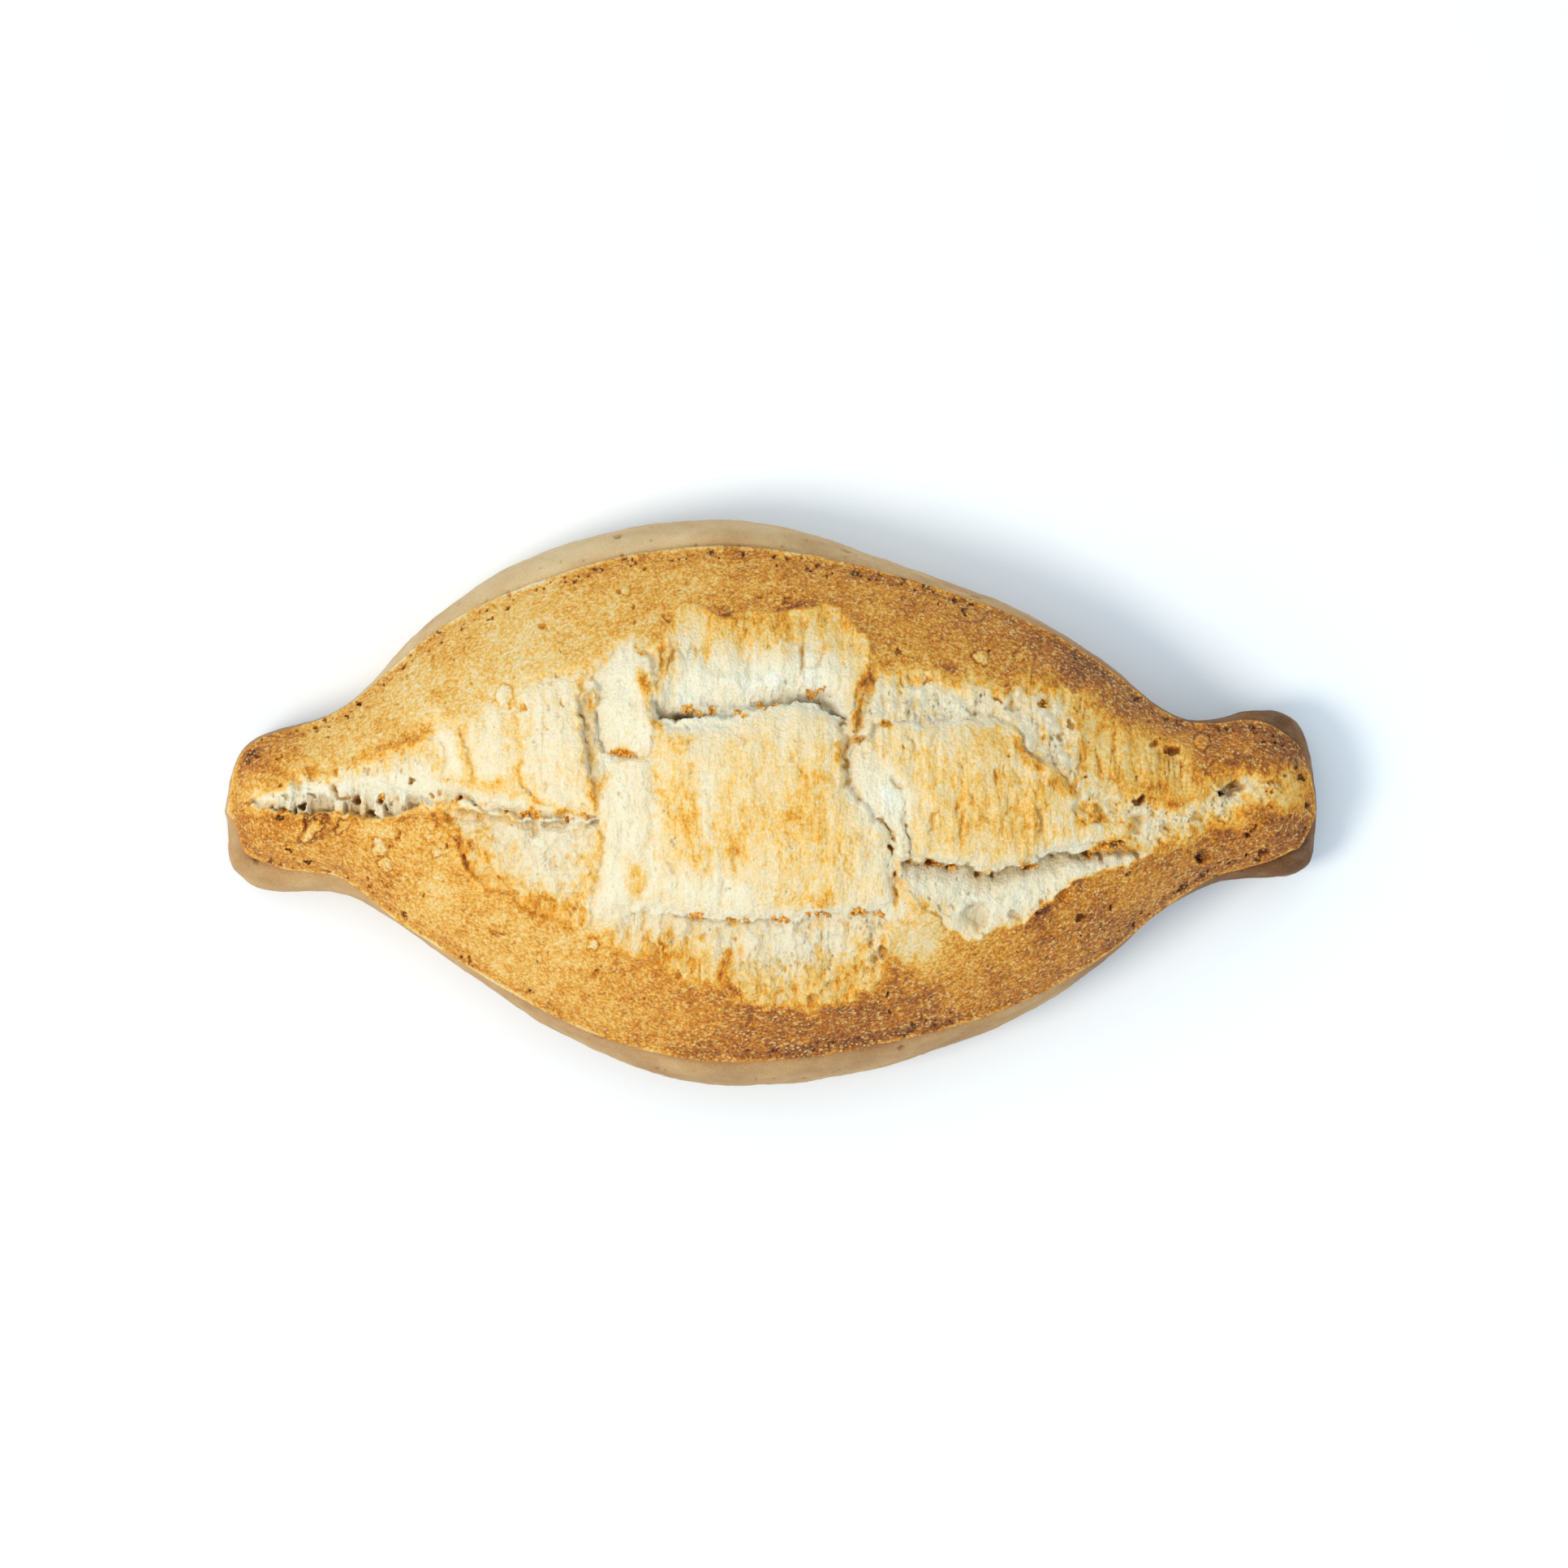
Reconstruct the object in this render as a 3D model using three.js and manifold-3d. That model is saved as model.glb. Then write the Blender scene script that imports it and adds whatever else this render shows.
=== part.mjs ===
// A long, boat-shaped sourdough loaf, baked in one piece, in millimetres.
// X runs along the loaf, Y across it from front to back, and Z up from the flat base it rests on.
// The crust is a domed cap with a thin overhanging edge, the rim. Below the rim a smooth side band
// bulges out to the belly, the widest line, and turns in under it to the foot of the flat base.
// Each end narrows to a neck and a blunt two-lobed knob. The cap is slashed lengthwise and torn open.
import * as THREE from "three";
import { mergeVertices } from "three/addons/utils/BufferGeometryUtils.js";
import Module from "manifold-3d";

// Driving dimensions.
const LENGTH = 280;
const HEIGHT = 76;
const KNOB_HEIGHT = 37;
const BODY_RIM_HEIGHT = 40;
const KNOB_RIM_HEIGHT = 24;
const BODY_BELLY_HEIGHT = 18;
const KNOB_BELLY_HEIGHT = 12;
const KNOB_LIFT = 2.5; // how far the underside of a knob stands off the table
const LIFT_START = 92; // distance from the middle at which the underside starts to rise
const FOOT_SHARE = 0.2; // how far the base's edge lies in from the belly, as a share of the way to the spine
const CROWN_POWER = 2.3; // how square the dome is across the loaf
const CROWN_REACH = 124; // distance from the middle at which the dome has come down to the knob
const CROWN_FALL = 1.15; // how steeply it comes down along the loaf
const RIM_OVERHANG = 0.9; // how far the edge of the crust stands out over the side band
const RIM_THICKNESS = 1.6;

// The spine is the line that the dome rises to. It follows x up to SPINE_STRAIGHT, then bunches up
// towards SPINE_END inside the knob, so that the end of the loaf closes round it like a fan.
const SPINE_STRAIGHT = 98;
const SPINE_END = 119;

// Mesh density.
const STEPS_PER_STATION = 2;
const CROWN_RINGS = 12;
const BAND_RINGS = 5;
const UNDERSIDE_RINGS = 4;

// The outline, seen from above, at stations along the length:
// [x, belly at the back, belly at the front, rim inset at the back, rim inset at the front].
const STATIONS = [
  [-140.0, -2.2, -2.2, 2.0, 2.0],
  [-139.3, 1.5, -5.8, 1.2, 3.2],
  [-138.4, 6.0, -14.6, 0.6, 5.2],
  [-136.0, 12.6, -18.2, 0.6, 6.2],
  [-132.0, 16.4, -21.2, 0.8, 7.0],
  [-126.0, 19.0, -22.5, 0.8, 6.2],
  [-118.0, 21.0, -22.5, 0.6, 5.0],
  [-111.0, 23.8, -23.2, 0.6, 4.6],
  [-104.0, 29.5, -25.8, 1.0, 3.0],
  [-96.0, 37.8, -30.8, 2.2, 1.2],
  [-86.0, 47.7, -37.3, 4.2, 1.2],
  [-74.0, 56.5, -45.7, 6.2, 1.6],
  [-60.0, 63.4, -55.0, 7.4, 2.7],
  [-44.0, 68.9, -63.3, 7.7, 3.9],
  [-27.0, 72.0, -69.7, 7.6, 5.9],
  [-10.0, 72.3, -72.4, 7.0, 6.7],
  [8.0, 69.2, -71.4, 6.0, 6.8],
  [26.0, 63.4, -68.3, 4.0, 6.7],
  [44.0, 56.9, -62.6, 2.8, 5.2],
  [60.0, 50.9, -56.5, 2.4, 4.4],
  [75.0, 42.8, -48.2, 1.6, 3.2],
  [88.0, 34.0, -38.2, 1.4, 1.6],
  [98.0, 26.0, -29.5, 1.4, 1.0],
  [106.0, 21.7, -24.0, 0.9, 1.1],
  [114.0, 21.4, -20.3, 1.1, 1.4],
  [122.0, 23.5, -19.2, 2.2, 2.0],
  [129.0, 23.6, -19.0, 3.6, 3.6],
  [134.0, 21.5, -18.4, 3.4, 4.6],
  [137.2, 16.5, -16.5, 2.4, 3.4],
  [139.0, 9.0, -13.0, 1.6, 2.0],
  [139.8, 2.5, -5.0, 1.0, 1.0],
  [140.0, -1.0, -1.0, 0.8, 0.8],
];

// The open slashes and tears. Each one's line is the bottom of the cut, as [x, y], with the cut's
// greatest depth below the dome and its greatest width at the top.
const SLASHES = [
  { name: "left_cleft", depth: 9, width: 9,
    line: [[-137, -2.5], [-128, -0.8], [-108, -1.2], [-92, -0.6], [-72, 0], [-58, -3.6], [-45, -4]] },
  { name: "back_slash", depth: 9, width: 11,
    line: [[-29, 23], [-20, 21.5], [-8, 21.5], [2, 24], [11, 27], [18, 25]] },
  { name: "front_slash", depth: 7, width: 9,
    line: [[-43, -29], [-30, -28.5], [-10, -29.8], [10, -28], [24, -26.5], [30, -28]] },
  { name: "right_slash", depth: 8, width: 9,
    line: [[32, -14], [44, -15], [54, -17.5], [70, -14.5], [84, -11.5], [95, -8]] },
  { name: "left_tear", depth: 5, width: 6,
    line: [[-46, 30], [-44.5, 15], [-44, 6], [-43, -3]] },
  { name: "right_tear", depth: 6, width: 7,
    line: [[23, 34], [20, 20], [19.5, 11], [24, -2], [31, -12]] },
  { name: "right_end_tear", depth: 5, width: 7,
    line: [[92, -1], [104, 3], [116, 5], [128, 4]] },
];
const BLADE_CLEARANCE = 6; // how far a cutting wedge reaches above the loaf

const smooth = (low, high, value) => THREE.MathUtils.smoothstep(value, low, high);
const fromKnobToBody = (x, knob, body) =>
  knob + (body - knob) * Math.max(0, 1 - (x / CROWN_REACH) ** 2) ** CROWN_FALL;
const ridgeHeight = (x) => fromKnobToBody(x, KNOB_HEIGHT, HEIGHT);
const rimHeight = (x) => fromKnobToBody(x, KNOB_RIM_HEIGHT, BODY_RIM_HEIGHT);
const bellyHeight = (x) => fromKnobToBody(x, KNOB_BELLY_HEIGHT, BODY_BELLY_HEIGHT);
const lift = (x) => KNOB_LIFT * smooth(LIFT_START, LENGTH / 2, Math.abs(x));

function spineX(x) {
  const past = Math.max(0, Math.abs(x) - SPINE_STRAIGHT);
  const room = SPINE_END - SPINE_STRAIGHT;
  return Math.sign(x) * (Math.min(Math.abs(x), SPINE_STRAIGHT) + room * Math.tanh(past / room));
}

// The stations joined by smooth curves: one row for each cross-section of the mesh.
function outlineRows() {
  const curve = (back, lip) => new THREE.CatmullRomCurve3(
    STATIONS.map((s) => new THREE.Vector3(s[0], s[back], s[lip])));
  const backCurve = curve(1, 3);
  const frontCurve = curve(2, 4);
  const steps = (STATIONS.length - 1) * STEPS_PER_STATION;
  return Array.from({ length: steps + 1 }, (_, i) => {
    const back = backCurve.getPoint(i / steps);
    const front = frontCurve.getPoint(i / steps);
    const x = THREE.MathUtils.clamp(back.x, -LENGTH / 2, LENGTH / 2);
    const middle = (back.y + front.y) / 2;
    return {
      spine: new THREE.Vector2(spineX(x), middle),
      sides: [[back.y, back.z], [front.y, front.z]].map(([y, lip]) => ({
        belly: new THREE.Vector2(x, y), lip })),
    };
  });
}

// One half of a cross-section, from the top of the dome over the rim, round the belly and along the
// underside to the middle of the base.
function profile(spine, { belly, lip }) {
  const reach = spine.distanceTo(belly);
  const at = (inset, z) => {
    const p = belly.clone().lerp(spine, Math.min(1, inset / reach));
    return new THREE.Vector3(p.x, p.y, z);
  };
  const x = belly.x;
  const [rim, waist, under] = [rimHeight(x), bellyHeight(x), lift(x)];
  const points = [];
  for (let i = 0; i <= CROWN_RINGS; i++) {
    const t = i / CROWN_RINGS;
    const z = rim + (ridgeHeight(spine.x) - rim) * (1 - t ** CROWN_POWER);
    points.push(at(reach - (reach - lip) * t, z));
  }
  for (let i = 0; i <= BAND_RINGS; i++) {
    const angle = (i / BAND_RINGS) * Math.PI / 2;
    const top = rim - RIM_THICKNESS;
    points.push(at((lip + RIM_OVERHANG) * (1 - Math.sin(angle)), waist + (top - waist) * Math.cos(angle)));
  }
  const foot = FOOT_SHARE * reach;
  for (let i = 1; i <= UNDERSIDE_RINGS; i++) {
    const angle = (i / UNDERSIDE_RINGS) * Math.PI / 2;
    points.push(at(foot * (1 - Math.cos(angle)), under + (waist - under) * (1 - Math.sin(angle))));
  }
  points.push(at(reach, lift(spine.x)));
  return points;
}

// A closed mesh from triangles of points, with its shared vertices merged.
function closedGeometry(triangles) {
  const geometry = new THREE.BufferGeometry().setFromPoints(triangles.flat());
  return mergeVertices(geometry, 1e-3);
}

function bodyGeometry() {
  const rows = outlineRows().map((row) => row.sides.map((side) => profile(row.spine, side)));
  const triangles = [];
  const flat = (a, b, c) => a.distanceTo(b) < 1e-3 || b.distanceTo(c) < 1e-3 || a.distanceTo(c) < 1e-3;
  const add = (a, b, c) => {
    if (!flat(a, b, c)) triangles.push([a, b, c]);
  };
  for (let i = 0; i + 1 < rows.length; i++) {
    const [backHere, frontHere] = rows[i];
    const [backNext, frontNext] = rows[i + 1];
    for (let j = 0; j + 1 < backHere.length; j++) {
      add(backHere[j], backNext[j + 1], backHere[j + 1]);
      add(backHere[j], backNext[j], backNext[j + 1]);
      add(frontHere[j], frontHere[j + 1], frontNext[j + 1]);
      add(frontHere[j], frontNext[j + 1], frontNext[j]);
    }
  }
  return closedGeometry(triangles);
}

// The dome's height over a point of a slash, taken straight across the loaf.
function domeHeight(x, y) {
  const rows = outlineRows();
  const row = rows.reduce((best, r) =>
    Math.abs(r.sides[0].belly.x - x) < Math.abs(best.sides[0].belly.x - x) ? r : best);
  const side = row.sides[y > row.spine.y ? 0 : 1];
  const t = Math.abs(y - row.spine.y) / Math.max(1, Math.abs(side.belly.y - row.spine.y) - side.lip);
  return rimHeight(x) + (ridgeHeight(x) - rimHeight(x)) * (1 - Math.min(1, t) ** CROWN_POWER);
}

// A wedge standing on its edge along a slash's line. Its depth and width fade out at both ends.
function bladeGeometry({ line, depth, width }) {
  const curve = new THREE.CatmullRomCurve3(line.map(([x, y]) => new THREE.Vector3(x, y, 0)));
  const steps = line.length * 2;
  const top = HEIGHT + BLADE_CLEARANCE;
  const sections = Array.from({ length: steps + 1 }, (_, i) => {
    const t = i / steps;
    const p = curve.getPoint(t);
    const along = curve.getTangent(t);
    const fade = 0.3 + 0.7 * Math.sin(Math.PI * t);
    const bottom = domeHeight(p.x, p.y) - depth * fade;
    const half = (width / 2) * fade * (top - bottom) / depth / fade;
    const across = new THREE.Vector3(-along.y, along.x, 0).multiplyScalar(half);
    return [
      new THREE.Vector3(p.x, p.y, bottom),
      p.clone().add(across).setZ(top),
      p.clone().sub(across).setZ(top),
    ];
  });
  const triangles = [];
  for (let i = 0; i < steps; i++) {
    for (let k = 0; k < 3; k++) {
      const [a, b] = [sections[i][k], sections[i][(k + 1) % 3]];
      const [c, d] = [sections[i + 1][k], sections[i + 1][(k + 1) % 3]];
      triangles.push([a, d, c], [a, b, d]);
    }
  }
  const [first, last] = [sections[0], sections[steps]];
  triangles.push([first[0], first[2], first[1]], [last[0], last[1], last[2]]);
  return closedGeometry(triangles);
}

const wasm = await Module();
wasm.setup();

function solidOf(geometry) {
  return new wasm.Manifold(new wasm.Mesh({
    numProp: 3,
    vertProperties: new Float32Array(geometry.attributes.position.array),
    triVerts: new Uint32Array(geometry.index.array),
  }));
}

function geometryOf(solid) {
  const { vertProperties, triVerts } = solid.getMesh();
  return new THREE.BufferGeometry()
    .setAttribute("position", new THREE.BufferAttribute(vertProperties, 3))
    .setIndex(new THREE.BufferAttribute(triVerts, 1));
}

function loafGeometry() {
  let loaf = solidOf(bodyGeometry());
  for (const slash of SLASHES) loaf = loaf.subtract(solidOf(bladeGeometry(slash)));
  const geometry = geometryOf(loaf);
  geometry.computeBoundingBox();
  const box = geometry.boundingBox;
  // The origin is under the middle of the loaf, on the surface that it rests on.
  geometry.translate(-(box.min.x + box.max.x) / 2, -(box.min.y + box.max.y) / 2, -box.min.z);
  geometry.computeVertexNormals();
  return geometry;
}

const crust = new THREE.MeshStandardMaterial({ color: 0xdca45c, roughness: 0.75, metalness: 0 });

const group = new THREE.Group();
const loaf = new THREE.Mesh(loafGeometry(), crust);
loaf.name = "loaf";
group.add(loaf);

export default group;
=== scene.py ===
"""A long, boat-shaped sourdough loaf: its fine crust, torn crumb, side band and base.

Everything is laid out in millimetres in the loaf's own frame: x along the loaf, y across it from front
to back, z up from the table. The mesh is turned into metres at the end. The loaf's body is swept through
the outline and the heights of the solid part, with a finer rim. On top of it the slashed and torn crust
is built from "plates", closed outlines that each have a level, a slope into a crevice and a bake, and
from folds, pits and toasted spots laid over them. Each vertex also gets its bake, which also carries
painted shade in the lows of the torn dough and a painted highlight on the rim's lip, its share of torn
crumb, of floury side skin and of hollow, the painted grey shade of crevices, grooves and pits, which the
one bread material turns into colour, gloss and grain.
"""
import itertools
import math

import bpy
import numpy as np
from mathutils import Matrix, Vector


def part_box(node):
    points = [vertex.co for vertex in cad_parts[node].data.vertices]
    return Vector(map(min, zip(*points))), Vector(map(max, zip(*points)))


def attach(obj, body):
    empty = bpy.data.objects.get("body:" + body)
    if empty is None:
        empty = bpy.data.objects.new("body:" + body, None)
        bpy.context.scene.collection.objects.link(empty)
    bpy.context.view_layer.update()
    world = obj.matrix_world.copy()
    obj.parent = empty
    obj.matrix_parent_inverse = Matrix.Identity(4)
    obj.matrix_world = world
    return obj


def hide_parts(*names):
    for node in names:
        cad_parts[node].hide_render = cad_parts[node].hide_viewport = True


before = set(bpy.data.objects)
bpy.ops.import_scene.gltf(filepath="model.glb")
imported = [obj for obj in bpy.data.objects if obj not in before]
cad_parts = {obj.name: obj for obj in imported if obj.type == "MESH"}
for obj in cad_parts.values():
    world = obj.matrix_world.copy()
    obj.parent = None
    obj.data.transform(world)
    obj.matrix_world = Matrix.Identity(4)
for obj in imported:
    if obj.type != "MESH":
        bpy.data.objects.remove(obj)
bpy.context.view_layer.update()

MM = 0.001

# ---------------------------------------------------------------------------------------------------
# The body: the outline and sizes of the solid part
# ---------------------------------------------------------------------------------------------------
LOW, HIGH = (np.array(corner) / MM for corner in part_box("loaf"))
HALF_LENGTH = (HIGH[0] - LOW[0]) / 2
HEIGHT = HIGH[2] - LOW[2]
KNOB_HEIGHT = 37.0
BODY_RIM_HEIGHT = 40.0
KNOB_RIM_HEIGHT = 24.0
BODY_BELLY_HEIGHT = 18.0
KNOB_BELLY_HEIGHT = 12.0
KNOB_LIFT = 2.5  # how far the underside of a knob stands off the table
LIFT_START = 92.0  # distance from the middle at which the underside starts to rise
FOOT_SHARE = 0.2  # how far the base's edge lies in from the belly, as a share of the way to the spine
CROWN_POWER = 2.3  # how square the dome is across the loaf
CROWN_REACH = 124.0  # distance from the middle at which the dome has come down to the knob
CROWN_FALL = 1.15  # how steeply it comes down along the loaf
RIM_OVERHANG = 0.9  # how far the edge of the crust stands out over the side band
RIM_THICKNESS = 1.6
# Rows lie straight across the loaf up to SPINE_STRAIGHT. Past it they fan out round a knob, from a spine
# that stops short of SPINE_END.
SPINE_STRAIGHT = 98.0
SPINE_END = 119.0
TOP_ROOM = 2.2  # how far the dome is kept below the solid's top, to leave room for its relief

# [x, belly at the back, belly at the front, rim inset at the back, rim inset at the front]
STATIONS = [
    [-140, -2.2, -2.2, 1, 1],
    [-139.3, 1.5, -5.8, 1, 2.6],
    [-138.4, 6, -14.6, 0.6, 4.6],
    [-136, 12.6, -18.2, 0.6, 6],
    [-132, 16.4, -21.2, 0.8, 7],
    [-126, 19, -22.5, 0.8, 6.2],
    [-118, 21, -22.5, 0.6, 5],
    [-111, 23.8, -23.2, 0.6, 4.6],
    [-104, 29.5, -25.8, 1.5, 3],
    [-96, 37.8, -30.8, 2.8, 1.4],
    [-86, 47.7, -37.3, 4.4, 1.5],
    [-74, 56.5, -45.7, 6.2, 2.2],
    [-60, 63.4, -55, 7.4, 3.4],
    [-44, 68.9, -63.3, 7.7, 4.3],
    [-27, 72, -69.7, 7.6, 5.9],
    [-10, 72.3, -72.4, 7, 6.7],
    [8, 69.2, -71.4, 6, 6.8],
    [26, 63.4, -68.3, 4, 6.7],
    [44, 56.9, -62.6, 2.8, 5.2],
    [60, 50.9, -56.5, 2.4, 4.4],
    [75, 42.8, -48.2, 1.6, 3.2],
    [88, 34, -38.2, 1.4, 1.6],
    [98, 26, -29.5, 1.4, 1],
    [106, 21.7, -24, 0.9, 1.1],
    [114, 21.4, -20.3, 1.1, 1.8],
    [122, 23.5, -19.2, 2.4, 2.9],
    [129, 23.6, -19, 4, 4.7],
    [134, 21.5, -18.4, 4.9, 6.2],
    [137.2, 16.5, -16.5, 3.2, 6.2],
    [139, 9, -13, 1.8, 4.2],
    [139.8, 2.5, -5, 1.2, 1.4],
    [140, -1, -1, 1, 1],
]

# Mesh density: the swept grid, and the triangles that are left after it is thinned.
ROW_STEP = 0.36
CROWN_COLUMNS = 130
BAND_COLUMNS = 26
UNDERSIDE_COLUMNS = 9
BASE_COLUMNS = 26
LOAF_TRIANGLES = 184000
SKIN_DEPTH = 70.0  # the longest way down the skin from the rim to the flat base

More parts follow.
